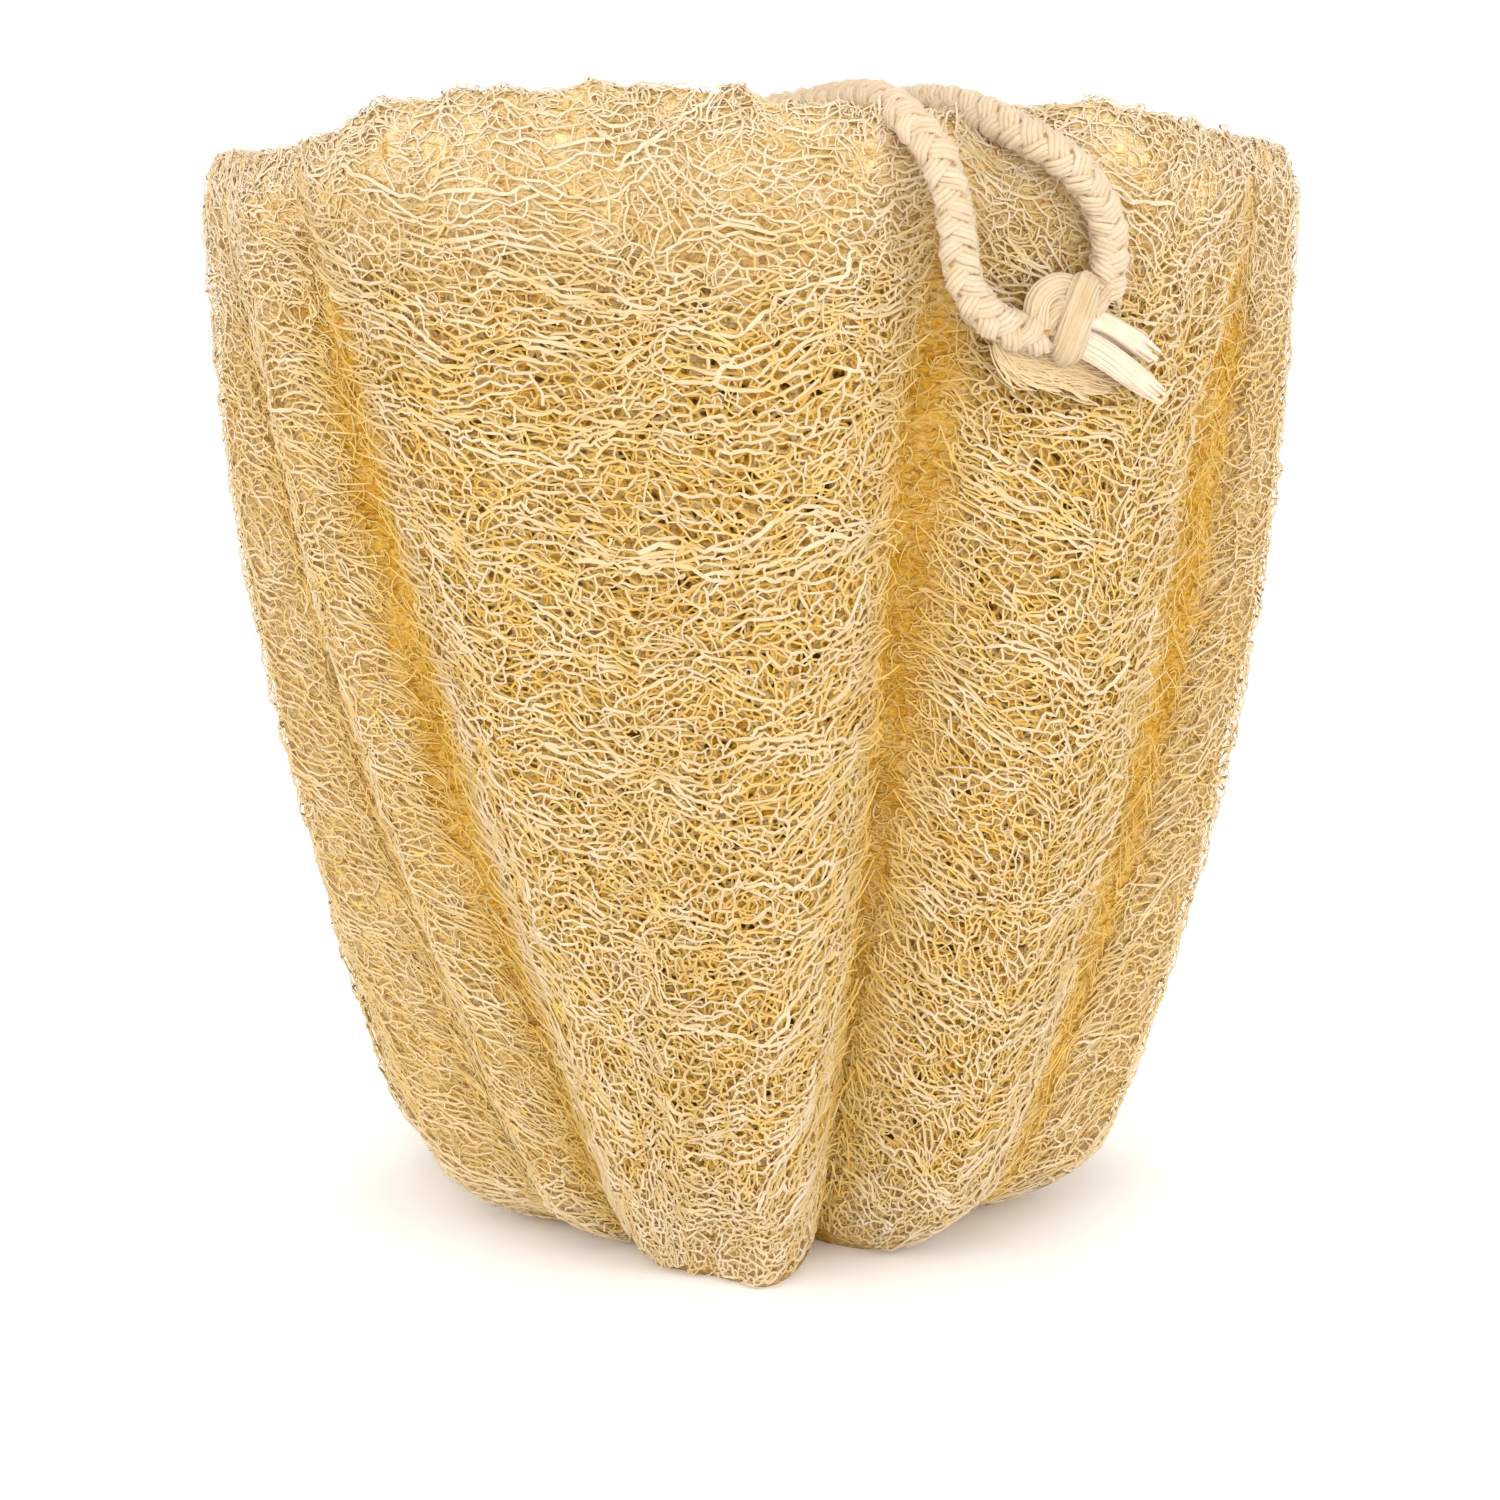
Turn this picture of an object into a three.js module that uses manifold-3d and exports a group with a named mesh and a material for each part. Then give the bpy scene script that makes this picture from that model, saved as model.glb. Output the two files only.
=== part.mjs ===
// Natural loofah sponge with a hanging cord of braided cotton, in millimetres, +Z up.
// The sponge is the dried fibre skeleton of one fruit, cut flat at both ends. It stands on its narrow end,
// and the origin is the middle of that end. The front faces -Y. A bearing is measured round the sponge
// from the front, positive towards +X.
import * as THREE from "three";
import { NURBSCurve } from "three/addons/curves/NURBSCurve.js";
import { mergeVertices } from "three/addons/utils/BufferGeometryUtils.js";
import Module from "manifold-3d";

// Sponge: height, radii over the ribs, and how late the sides run in towards the base
const HEIGHT = 168;
const TOP_RADIUS = 87.5;
const BASE_RADIUS = 59.5;
const TAPER_POWER = 2.35;

// Furrows between the ribs: bearing at the top and at the base in degrees, and depth
const FURROWS = [
  { top: -88, base: -66, depth: 7 },
  { top: -68, base: -34, depth: 6 },
  { top: -50, base: -22, depth: 7 },
  { top: -12, base: -6, depth: 4 },
  { top: 19, base: 12, depth: 14 },
  { top: 61, base: 43, depth: 10 },
  { top: 94, base: 80, depth: 9 },
  { top: 129, base: 118, depth: 11 },
  { top: 163, base: 158, depth: 8 },
  { top: 197, base: 202, depth: 13 },
  { top: 232, base: 248, depth: 9 },
];
const RIB_ROUNDNESS = 0.8;
const TOP_FURROW_SHARE = 0.45;
const FURROW_FADE_START = 0.68 * HEIGHT;

// Rolled rim at the upper end
const RIM_ROLL = 9;
const RIM_ROLL_IN = 4;
const RIM_WAVE = 1.4;
const RIM_CROWN_SHARE = 0.86;

// Raised net of fibres: cells round each rib, rows, and the ridge between two cells
const CELLS_PER_RIB = 3;
const CELL_ROWS = 16;
const CELL_LEAN = 0.17;
const RIDGE_HEIGHT = 2.6;
const RIDGE_HALF_WIDTH = 1.5;
const CELL_JITTER = 0.2;
const RIDGE_JITTER = 0.8;
const SEED = 7;

// Seed channels: three, straight from end to end, round the sponge's middle
const CHANNEL_BEARINGS = [60, 180, 300];
const CHANNEL_OFFSET = 21.5;
const CHANNEL_RADIUS = 15.5;
const CHANNEL_SIDES = 16;

// Cord: diameter, room left round it, and its route from one side of the knot to the other
const CORD_DIAMETER = 4.8;
const CORD_GAP = 0.6;
const CORD_SIDES = 10;
const CORD_STEPS = 78;
const TURN_RADIUS = 13.8;
const TURN_POINTS = 5;
const TURN_CENTRE = new THREE.Vector3(0, -21.5, 128);
const CORD_OUT = [
  [38.2, -80.8, 139],
  [34, -82.4, 139.2],
  [29.6, -84, 141.6],
  [27, -84.9, 146.6],
  [26.6, -85.2, 152],
  [25.4, -85.8, 157.6],
  [23, -86.2, 163.2],
  [19.6, -82.4, 168.8],
  [15.2, -74, 171.6],
  [9.6, -64, 171.6],
  [3.6, -53, 171.8],
  [-3, -42, 171.6],
  [-8.6, -32.5, 168],
  [-12.2, -25.2, 160],
  [-13.8, -21.8, 149],
  [-13.9, -21.5, 138],
];
const CORD_BACK = [
  [13.9, -21.5, 138],
  [13.8, -21.8, 149],
  [13.8, -25.2, 160],
  [14, -32.5, 168],
  [14.4, -42, 171.6],
  [16.4, -51.6, 171.8],
  [20.6, -60.6, 171.8],
  [26, -69.2, 171.6],
  [32, -77, 168.4],
  [38.4, -80.8, 163.6],
  [43.4, -79.4, 159.2],
  [46.8, -77.2, 155],
  [47.8, -76, 149.6],
  [46.8, -76.4, 144.6],
];

// Knot: middle, and the turns and tails of cord that it is made of, from that middle
const KNOT = new THREE.Vector3(41.6, -79.2, 141.2);
const KNOT_TURNS = [
  {
    radius: 2.4,
    points: [[-4.6, -2.4, -1.6], [-4.4, -2.2, 2.6], [-1.6, -1, 4.6], [1.8, 0.6, 3.2], [3, 1.4, 0]],
  },
  {
    radius: 2.5,
    points: [[2.6, 1.4, 4.6], [1.8, -1.6, 4.2], [0.9, -2.9, 0], [0, -2.2, -4], [-0.2, 0.6, -4.8]],
  },
  {
    radius: 2.3,
    points: [[-3, -1.2, -2.4], [-1.5, -0.2, -2.2], [1, 1.2, -1], [3.2, 1.7, 2], [4, 1.9, 4.4]],
  },
  {
    radius: 1.7,
    points: [[1.2, 0.4, 0.2], [4.6, 1.8, -0.6], [9, 4.4, -2.6], [13.2, 7.2, -5]],
  },
  {
    radius: 2.1,
    points: [[0.4, 0, -2.4], [4.2, 1.2, -4.2], [9, 4, -7], [14, 7, -10.2]],
  },
];
const KNOT_SIDES = 10;
const KNOT_STEPS_PER_POINT = 4;

const FIBRE_COLOUR = 0xe6c388;
const COTTON_COLOUR = 0xf0dcb8;

const wasm = await Module();
wasm.setup();

const mix = THREE.MathUtils.lerp;
const radians = THREE.MathUtils.degToRad;

// Seeded draws between -1 and 1
let drawState = SEED;
function draw() {
  drawState = (drawState * 1664525 + 1013904223) % 4294967296;
  return (drawState / 4294967296) * 2 - 1;
}

function ribRadius(z) {
  const share = THREE.MathUtils.clamp(z / HEIGHT, 0, 1);
  const rolled = Math.max(0, (z - (HEIGHT - RIM_ROLL)) / RIM_ROLL);
  return mix(BASE_RADIUS, TOP_RADIUS, 1 - (1 - share) ** TAPER_POWER) - RIM_ROLL_IN * rolled ** 2;
}

function furrowBearing(index, z) {
  const turns = Math.floor(index / FURROWS.length);
  const furrow = FURROWS[index - turns * FURROWS.length];
  return mix(furrow.base, furrow.top, z / HEIGHT) + 360 * turns;
}

function furrowDepth(index) {
  return FURROWS[THREE.MathUtils.euclideanModulo(index, FURROWS.length)].depth;
}

// A place on the sponge's outside. Along is counted in ribs from the first furrow.
function outside(along, z, sink) {
  const rib = Math.floor(along);
  const share = along - rib;
  const depth = mix(furrowDepth(rib), furrowDepth(rib + 1), share);
  const fade = mix(1, TOP_FURROW_SHARE, THREE.MathUtils.smoothstep(z, FURROW_FADE_START, HEIGHT));
  const hollow = depth * fade * (1 - Math.sin(Math.PI * share) ** RIB_ROUNDNESS);
  const bearing = radians(mix(furrowBearing(rib, z), furrowBearing(rib + 1, z), share));
  const radius = ribRadius(z) - hollow - sink;
  return new THREE.Vector3(radius * Math.sin(bearing), -radius * Math.cos(bearing), z);
}

function rimHeight(along) {
  const angle = (2 * Math.PI * along) / FURROWS.length;
  return HEIGHT - RIM_WAVE + RIM_WAVE * 0.6 * Math.sin(2 * angle + 1) + RIM_WAVE * 0.4 * Math.sin(5 * angle);
}

function channelRing(bearing, z) {
  return Array.from({ length: CHANNEL_SIDES }, (_, i) => {
    const angle = (2 * Math.PI * i) / CHANNEL_SIDES;
    return new THREE.Vector3(
      CHANNEL_OFFSET * Math.sin(radians(bearing)) + CHANNEL_RADIUS * Math.cos(angle),
      -CHANNEL_OFFSET * Math.cos(radians(bearing)) + CHANNEL_RADIUS * Math.sin(angle),
      z,
    );
  });
}

// Vertices and triangles gathered into one closed surface
class Surface {
  points = [];
  triangles = [];
  add(point) {
    return this.points.push(point) - 1;
  }
  fan(ids) {
    for (let i = 1; i + 1 < ids.length; i++) this.triangles.push(ids[0], ids[i], ids[i + 1]);
  }
  // A closed band between two rings with the same count
  band(lower, upper) {
    lower.forEach((id, i) => {
      const next = (i + 1) % lower.length;
      this.fan([id, lower[next], upper[next], upper[i]]);
    });
  }
  // A flat face with holes, its outline seen from above
  face(outline, holes, up) {
    const flat = (ids) => ids.map((id) => new THREE.Vector2(this.points[id].x, this.points[id].y));
    const ids = [...outline, ...holes.flat()];
    for (const [a, b, c] of THREE.ShapeUtils.triangulateShape(flat(outline), holes.map(flat))) {
      const [p, q, r] = flat([ids[a], ids[b], ids[c]]);
      const turnsLeft = q.clone().sub(p).cross(r.clone().sub(p)) > 0;
      this.triangles.push(...(turnsLeft === up ? [ids[a], ids[b], ids[c]] : [ids[a], ids[c], ids[b]]));
    }
  }
  solid() {
    return new wasm.Manifold(
      new wasm.Mesh({
        numProp: 3,
        vertProperties: new Float32Array(this.points.flatMap((p) => p.toArray())),
        triVerts: new Uint32Array(this.triangles),
      }),
    );
  }
}

// The sponge: ridges of the net run between places two to a cell on each row, and each cell's floor is sunk
function spongeSolid() {
  const surface = new Surface();
  const places = 2 * CELLS_PER_RIB * FURROWS.length;
  const rows = [];
  for (let row = 0; row <= CELL_ROWS; row++) {
    const ring = [];
    for (let k = 0; k < places; k++) {
      const inner = row > 0 && row < CELL_ROWS;
      const inFurrow = k % (2 * CELLS_PER_RIB) === 0;
      const lean = inner ? ((k + row) % 2 ? -CELL_LEAN : CELL_LEAN) + CELL_JITTER * draw() : 0;
      const along = (k + (inner && !inFurrow ? CELL_JITTER * 2 * draw() : 0)) / (2 * CELLS_PER_RIB);
      const z = (rimHeight(along) * (row + lean)) / CELL_ROWS;
      const sink = inFurrow ? RIDGE_HEIGHT : RIDGE_JITTER * (1 + draw());
      ring.push({ along, z, id: surface.add(outside(along, z, sink)) });
    }
    rows.push(ring);
  }

  const outlineOf = (row, first) => {
    const under = [0, 1, 2].map((n) => rows[row][(first + n) % places]);
    const over = [2, 1, 0].map((n) => rows[row + 1][(first + n) % places]);
    return [...under, ...over];
  };
  for (let row = 0; row < CELL_ROWS; row++) {
    for (let cell = 0; cell < places / 2; cell++) {
      const outline = outlineOf(row, 2 * cell + (row % 2));
      const middle = outline
        .reduce((sum, place) => sum.add(surface.points[place.id]), new THREE.Vector3())
        .divideScalar(outline.length);
      const outward = new THREE.Vector3(middle.x, middle.y, 0).normalize();
      const floor = outline.map(({ id }) => {
        const corner = surface.points[id].clone();
        const inset = Math.min(RIDGE_HALF_WIDTH / corner.distanceTo(middle), 0.35);
        return surface.add(corner.lerp(middle, inset).addScaledVector(outward, -RIDGE_HEIGHT));
      });
      outline.forEach(({ id }, i) => {
        const next = (i + 1) % outline.length;
        surface.fan([id, outline[next].id, floor[next], floor[i]]);
      });
      surface.fan(floor);
    }
  }

  const rim = rows[CELL_ROWS].map((place) => place.id);
  const crown = rim.map((id) => {
    return surface.add(surface.points[id].clone().multiplyScalar(RIM_CROWN_SHARE).setZ(HEIGHT));
  });
  surface.band(rim, crown);

  const mouths = [];
  const feet = [];
  for (const bearing of CHANNEL_BEARINGS) {
    const [foot, mouth] = [0, HEIGHT].map((z) => channelRing(bearing, z).map((p) => surface.add(p)));
    surface.band(mouth, foot);
    feet.push(foot);
    mouths.push(mouth);
  }
  surface.face(crown, mouths, true);
  surface.face(rows[0].map((place) => place.id), feet, false);
  return surface.solid();
}

// A smooth curve drawn towards its points, which it follows closely without sharp bends
function easedCurve(points) {
  const degree = 3;
  const inner = points.length - degree;
  const knots = [
    ...Array(degree).fill(0),
    ...Array.from({ length: inner + 1 }, (_, i) => i / inner),
    ...Array(degree).fill(1),
  ];
  return new NURBSCurve(degree, knots, points.map((p) => new THREE.Vector4(p.x, p.y, p.z, 1)));
}

// A round tube along a curve
function tubeSolid(curve, radius, sides, steps) {
  const section = new THREE.Shape(
    Array.from({ length: sides }, (_, i) => {
      const angle = (2 * Math.PI * i) / sides;
      return new THREE.Vector2(radius * Math.cos(angle), radius * Math.sin(angle));
    }),
  );
  const geometry = new THREE.ExtrudeGeometry(section, { extrudePath: curve, steps });
  geometry.deleteAttribute("normal");
  geometry.deleteAttribute("uv");
  const merged = mergeVertices(geometry, 1e-4);
  return new wasm.Manifold(
    new wasm.Mesh({
      numProp: 3,
      vertProperties: merged.attributes.position.array,
      triVerts: new Uint32Array(merged.index.array),
    }),
  );
}

// The cord goes in at one channel, round under the web between two channels, and out at the other
function cordRoute() {
  const turn = Array.from({ length: TURN_POINTS }, (_, i) => {
    const angle = (Math.PI * (i + 0.5)) / TURN_POINTS;
    const spoke = new THREE.Vector3(-Math.cos(angle), 0, -Math.sin(angle));
    return spoke.multiplyScalar(TURN_RADIUS).add(TURN_CENTRE);
  });
  const at = (points) => points.map((p) => new THREE.Vector3(...p));
  return [...at(CORD_OUT), ...turn, ...at(CORD_BACK)];
}

// The same route with a short straight stretch added at each end
function lengthened(points, stretch) {
  const past = (end, before) => end.clone().add(end.clone().sub(before).setLength(stretch));
  return [past(points[0], points[1]), ...points, past(points.at(-1), points.at(-2))];
}

function knotSolid() {
  const pieces = KNOT_TURNS.map(({ radius, points }) => {
    const curve = new THREE.CatmullRomCurve3(points.map((p) => new THREE.Vector3(...p).add(KNOT)));
    return tubeSolid(curve, radius, KNOT_SIDES, points.length * KNOT_STEPS_PER_POINT);
  });
  return pieces.reduce((whole, piece) => whole.add(piece));
}

function meshOf(name, solid, colour) {
  const { vertProperties, triVerts } = solid.getMesh();
  const geometry = new THREE.BufferGeometry();
  geometry.setAttribute("position", new THREE.BufferAttribute(new Float32Array(vertProperties), 3));
  geometry.setIndex(new THREE.BufferAttribute(new Uint32Array(triVerts), 1));
  geometry.computeVertexNormals();
  const material = new THREE.MeshStandardMaterial({ color: colour, roughness: 0.85, metalness: 0 });
  const mesh = new THREE.Mesh(geometry, material);
  mesh.name = name;
  return mesh;
}

const route = cordRoute();
const cord = tubeSolid(easedCurve(route), CORD_DIAMETER / 2, CORD_SIDES, CORD_STEPS);
const roomRoute = easedCurve(lengthened(route, CORD_GAP));
const cordRoom = tubeSolid(roomRoute, CORD_DIAMETER / 2 + CORD_GAP, CORD_SIDES, CORD_STEPS);

const loofah = new THREE.Group();
loofah.add(
  meshOf("loofah", spongeSolid().subtract(cordRoom), FIBRE_COLOUR),
  meshOf("cord", cord, COTTON_COLOUR),
  meshOf("cord_knot", knotSolid().subtract(cordRoom), COTTON_COLOUR),
);

export default loofah;
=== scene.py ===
# Natural loofah sponge with a braided cotton hanging cord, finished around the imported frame.
# Sizes are in millimetres and turn to metres where a mesh is made. A bearing is measured round the
# sponge from the front (-Y), positive towards +X. Along counts ribs from the first furrow.
import math

import bpy
import numpy as np
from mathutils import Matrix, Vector
from mathutils.geometry import delaunay_2d_cdt


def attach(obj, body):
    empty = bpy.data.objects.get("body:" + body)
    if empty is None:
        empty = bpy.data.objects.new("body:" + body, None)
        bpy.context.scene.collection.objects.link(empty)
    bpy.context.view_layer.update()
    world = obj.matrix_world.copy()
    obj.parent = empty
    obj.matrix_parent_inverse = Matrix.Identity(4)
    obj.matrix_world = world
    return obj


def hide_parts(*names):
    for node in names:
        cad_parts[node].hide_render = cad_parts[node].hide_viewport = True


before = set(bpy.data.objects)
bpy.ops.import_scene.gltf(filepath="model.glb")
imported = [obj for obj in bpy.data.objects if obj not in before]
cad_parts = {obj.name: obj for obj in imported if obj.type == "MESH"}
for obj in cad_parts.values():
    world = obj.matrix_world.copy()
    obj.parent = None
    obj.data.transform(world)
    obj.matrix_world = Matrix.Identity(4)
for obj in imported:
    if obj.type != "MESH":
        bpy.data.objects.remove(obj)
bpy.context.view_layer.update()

MM = 0.001

# Sponge: the solid's sizes, with a slimmer base, rounder ribs and a softer rim
HEIGHT = 168
TOP_RADIUS = 87.5
BASE_RADIUS = 58.5
BASE_SHIFT = 1.2
TAPER_POWER = 2.35
RIM_ROLL = 9
RIM_ROLL_IN = 2.5
RIB_ROUNDNESS = np.array([2, 2, 1.6, 1.2, 1.2, 1.7, 1.2, 1.2, 1.2, 1.2, 1.3])
TOP_FURROW_SHARE = 0.45
FURROW_FADE_START = 0.68 * HEIGHT
CHANNEL_BEARINGS = (60, 180, 300)
CHANNEL_OFFSET = 21.5
CHANNEL_RADIUS = 15.5

# Furrows: bearings at the top and the base, depth, half width of the bare floor, and how matted it is
FURROW_TOP = np.array([-88, -68, -50, -12, 19, 61, 94, 129, 163, 197, 232])
FURROW_BASE = np.array([-66, -34, -22, -10, 12, 42, 80, 118, 158, 202, 248])
FURROW_DEPTH = np.array([5.5, 4, 6, 1.4, 14, 5, 9, 11, 8, 13, 9])
FURROW_BARE = np.array([1, 1, 3, 0, 4.6, 8, 3, 3.4, 2.6, 4.4, 3])
FURROW_MATTED = np.array([0.4, 0.5, 1, 0, 1, 1, 0.7, 0.7, 0.6, 0.9, 0.7])
FURROW_BARE_TOP = 0.86 * HEIGHT
RIBS = len(FURROW_TOP)
RIB_STEPS = 60
GIRTH_HEIGHT = 0.6 * HEIGHT

# Matted flanks beside the furrows, and the honey colour that reaches further out of the deeper ones
FLANK_FELTED = 0.75
FLANK_WIDTH = 14
FLOOR_WIDTH = 12
FLOOR_INNER = 3
HONEY_REACH = 5
HONEY_REACH_PER_DEPTH = 0.6
HONEY_INNER = 1.5
HONEY_TOP = 0.72 * HEIGHT

# Pale places: where the rim's begin and are full, and the same for the feet, with how pale these are. The
# rim's paleness is partly wear and partly painted light, the feet's is painted light
WORN_AND_LIT_RIM_START = 0.8 * HEIGHT
WORN_AND_LIT_RIM_FULL = 0.97 * HEIGHT
PAINTED_LIGHT_FEET_START = 24
PAINTED_LIGHT_FEET_FULL = 4
PAINTED_LIGHT_FEET = 0.65

# Loose ends beside each furrow: how near its middle they reach, past it if negative, and their share
FRINGE_REACH = np.array([0, 0, 0, 0, 0.25, -0.8, 0, 0, 0, 0, 0])
FRINGE_SHARE = np.array([0.6, 0.6, 1, 0.4, 0.8, 0.4, 1, 1, 0.9, 1, 1])

# How far strands rise at the left and right of each furrow and at each rib's middle, at the top and the base
LIFT_TOP = np.array(
    [(0, 4), (-3, 3), (-3, 6), (-1, -1), (1, 9), (3, -1), (3, 3), (3, 3), (3, 3), (3, 3), (3, 3)]
)
LIFT_BASE = np.array(
    [(0, 7), (-5, 5), (-6, 13), (-3, -3), (11, 10), (6, -2), (4, 4), (4, 4), (4, 4), (4, 4), (4, 4)]
)
RIB_LIFT_TOP = np.array([0, 0, 0, -1, -4, 2, -4, -5, -4, -4, -4])
RIB_LIFT_BASE = np.array([0, 0, 2, -4, -5, 4, -5, -5, -4, -5, -5])
LIFT_STEEPNESS = 0.7

# How far each rib's gaps are filled with felt, from an open net to a closed mat
RIB_FELTED = np.array([0.85, 0.65, 0.12, 0, 0.08, 0.8, 0.9, 0.8, 0.8, 0.8, 0.9])

# Loose fibres above the cut rim: bearings and how far they rise there, with ragged bumps on top
RIM_BEARINGS = (-180, -100, -83, -70, -57, -44, -38, -25, -14, -6, 8, 32, 41, 54, 70, 95, 180)
RIM_RISES = (1.5, 1.2, 1.4, -0.9, -2.4, -1.5, 1.8, 2.7, 2.5, 1.7, 0, 1.2, 1.4, 0.5, 0.8, 1.4, 1.5)
RIM_RAG = 0.5
RIM_BUMPS = ((9, 0.5), (17, 0.5), (31, 0.6), (53, 0.6), (83, 0.5))
RIM_FUZZ_START = 0.86 * HEIGHT

# The feet of the ribs: how high they are rounded, and how far in, rib by rib
FOOT_ROLL = 13
FOOT_ROLL_IN = np.array([11, 12, 3, -3, 9, 13, 7, 6, 6, 6, 8])


def mix(a, b, share):
    return a + (b - a) * share


def smoothstep(low, high, x):
    share = np.clip((x - low) / (high - low), 0, 1)
    return share * share * (3 - 2 * share)


def unit(vectors):
    return vectors / np.linalg.norm(vectors, axis=-1, keepdims=True)


def swell(places, size, seed):
    """A smooth field from about -1 to 1 whose swells are about size across."""
    draws = np.random.default_rng(seed)
    waves = draws.normal(size=(10, places.shape[1]))
    waves *= (math.tau / size * draws.uniform(0.6, 1.5, 10) / np.linalg.norm(waves, axis=1))[:, None]
    return np.sin(places @ waves.T + draws.uniform(0, math.tau, 10)).sum(1) / 3.2


# Outside of the sponge
def rib_radius(z):
    rolled = np.maximum(0, (z - (HEIGHT - RIM_ROLL)) / RIM_ROLL)
    taper = 1 - (1 - np.clip(z / HEIGHT, 0, 1)) ** TAPER_POWER
    return mix(BASE_RADIUS, TOP_RADIUS, taper) - RIM_ROLL_IN * rolled**2


def furrow_bearing(index, z):
    share = z / HEIGHT
    return mix(FURROW_BASE[index % RIBS], FURROW_TOP[index % RIBS], share) + 360 * (index // RIBS)


def by_rib(values, along):
    """Values given at the ribs' middles, blended from rib to rib."""
    return np.interp(along, np.arange(-1, RIBS + 1) + 0.5, np.concatenate([values[-1:], values, values[:1]]))


def furrow_hollow(along, z):
    """How far the surface lies inside the ribs' crests."""
    rib = np.floor(along).astype(int)
    share = along - rib
    depth = mix(FURROW_DEPTH[rib % RIBS], FURROW_DEPTH[(rib + 1) % RIBS], share)
    fade = mix(1, TOP_FURROW_SHARE, smoothstep(FURROW_FADE_START, HEIGHT, z))
    return depth * fade * (1 - np.abs(np.sin(np.pi * share)) ** RIB_ROUNDNESS[rib % RIBS])


def rim_rise(bearing):
    """How far the rim's loose fibres stand above the cut, with bumps of several lengths round the sponge."""
    wrapped = np.degrees(np.mod(bearing + np.pi, 2 * np.pi) - np.pi)
    rag = sum(np.sin(n * bearing + 1.7 * n) * size for n, size in RIM_BUMPS)
    return np.interp(wrapped, RIM_BEARINGS, RIM_RISES) + RIM_RAG * rag


def outside(along, rise, sink):
    """Places on the sponge in metres. Past the rim, rise runs on inwards over the top. Sink is a depth."""
    along, rise, sink = np.broadcast_arrays(*(np.asarray(a, float) for a in (along, rise, sink)))
    z = np.clip(rise, 0, HEIGHT)
    rib = np.floor(along).astype(int)
    share = along - rib
    bearing = np.radians(mix(furrow_bearing(rib, z), furrow_bearing(rib + 1, z), share))
    lean = smoothstep(HEIGHT - RIM_ROLL, HEIGHT + RIM_ROLL / 2, rise) * np.pi / 2
    foot = by_rib(FOOT_ROLL_IN, along) * np.maximum(0, 1 - z / FOOT_ROLL) ** 2
    inset = furrow_hollow(along, z) + foot + np.maximum(rise - HEIGHT, 0)
    radius = rib_radius(z) - inset - sink * np.cos(lean)
    fuzz = rim_rise(bearing) * smoothstep(RIM_FUZZ_START, HEIGHT, rise)
    height = z + fuzz - sink * np.sin(lean)
    shift = BASE_SHIFT * (1 - z / HEIGHT)
    return np.stack([radius * np.sin(bearing) + shift, -radius * np.cos(bearing), height], -1) * MM


def outward(along, rise):
    """Directions away from the sponge."""
    return unit(outside(along, rise, -1) - outside(along, rise, 0))


ALONG_STEPS = np.linspace(0, RIBS, RIB_STEPS * RIBS + 1)
GIRTH_STEPS = np.concatenate(
    [[0], np.cumsum(np.linalg.norm(np.diff(outside(ALONG_STEPS, GIRTH_HEIGHT, 0), axis=0), axis=1)) / MM]
)
GIRTH = GIRTH_STEPS[-1]


def along_at(girth):
    return np.interp(girth, GIRTH_STEPS, ALONG_STEPS)


def lift(along, rise):
    """How far a level strand is raised where it crosses the ribs, steeply beside the furrows."""
    furrow = np.rint(along).astype(int)
    rib = np.floor(along).astype(int)
    right = (along > furrow).astype(int)
    across = np.abs(2 * (along - furrow)) ** LIFT_STEEPNESS
    top = mix(LIFT_TOP[furrow % RIBS, right], RIB_LIFT_TOP[rib % RIBS], across)
    base = mix(LIFT_BASE[furrow % RIBS, right], RIB_LIFT_BASE[rib % RIBS], across)
    level = mix(base, top, rise / HEIGHT)
    return level * smoothstep(-10, 25, rise) * smoothstep(HEIGHT + 12, HEIGHT - 15, rise)


def from_furrow(along):
    """The girth from a place to the nearest furrow, and that furrow's number."""
    nearest = np.rint(along).astype(int)
    gap = np.abs(np.interp(along, ALONG_STEPS, GIRTH_STEPS) - np.interp(nearest, ALONG_STEPS, GIRTH_STEPS))
    return gap, nearest % RIBS


def bare_half_width(furrow, rise):
    return FURROW_BARE[furrow] * smoothstep(HEIGHT, FURROW_BARE_TOP - 25, rise) * smoothstep(-5, 100, rise)


def felted(along, rise):
    """How far the net's gaps are filled: at the pale rim and feet, in the furrows and on some ribs; the
    paleness is partly painted light.
    """
    gap, furrow = from_furrow(along)
    flank = FLANK_FELTED * smoothstep(FLANK_WIDTH, FLOOR_INNER, gap) * FURROW_MATTED[furrow]
    return np.maximum(np.maximum(by_rib(RIB_FELTED, along), flank), paleness(rise))


# Nets of strands
# Deeper nets: their lower tone is painted shade, and their honey warmth partly their own colour and partly
# painted warm shade
NETS = {
    "outer": dict(
        cell=1.5, aspect=1.4, over=14, bare=1.0, level=0.15, eased=2, bow=0.44, dropped=0.32,
        thin=0.25, thick=0.57, tone=0.8, warmth=0, sink=0.1, sink_swing=0.5, buried=2,
    ),
    "middle": dict(
        cell=1.6, aspect=1.3, over=12, bare=0.9, level=0.1, eased=2, bow=0.42, dropped=0.25,
        thin=0.25, thick=0.42, tone=0.72, warmth=0.8, sink=0.65, sink_swing=0.4, buried=2,
    ),
    "inner": dict(
        cell=1.7, aspect=1.2, over=6, bare=0.7, level=0, eased=1, bow=0.25, dropped=0.1,
        thin=0.28, thick=0.4, tone=0.62, warmth=1, sink=1.3, sink_swing=0.35, buried=0.6,
    ),
}
TOP_NET = dict(
    cell=2.7, level=0, eased=1, bow=0.3, dropped=0.1, thin=0.36, thick=0.62, tone=0.8, sink_swing=0.4
)
ROW_STEP = 0.866
DENSITY_ALONG = (0, 0.3, 0.8, 5.2, 5.9, 6.6, RIBS - 0.5, RIBS)
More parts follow.
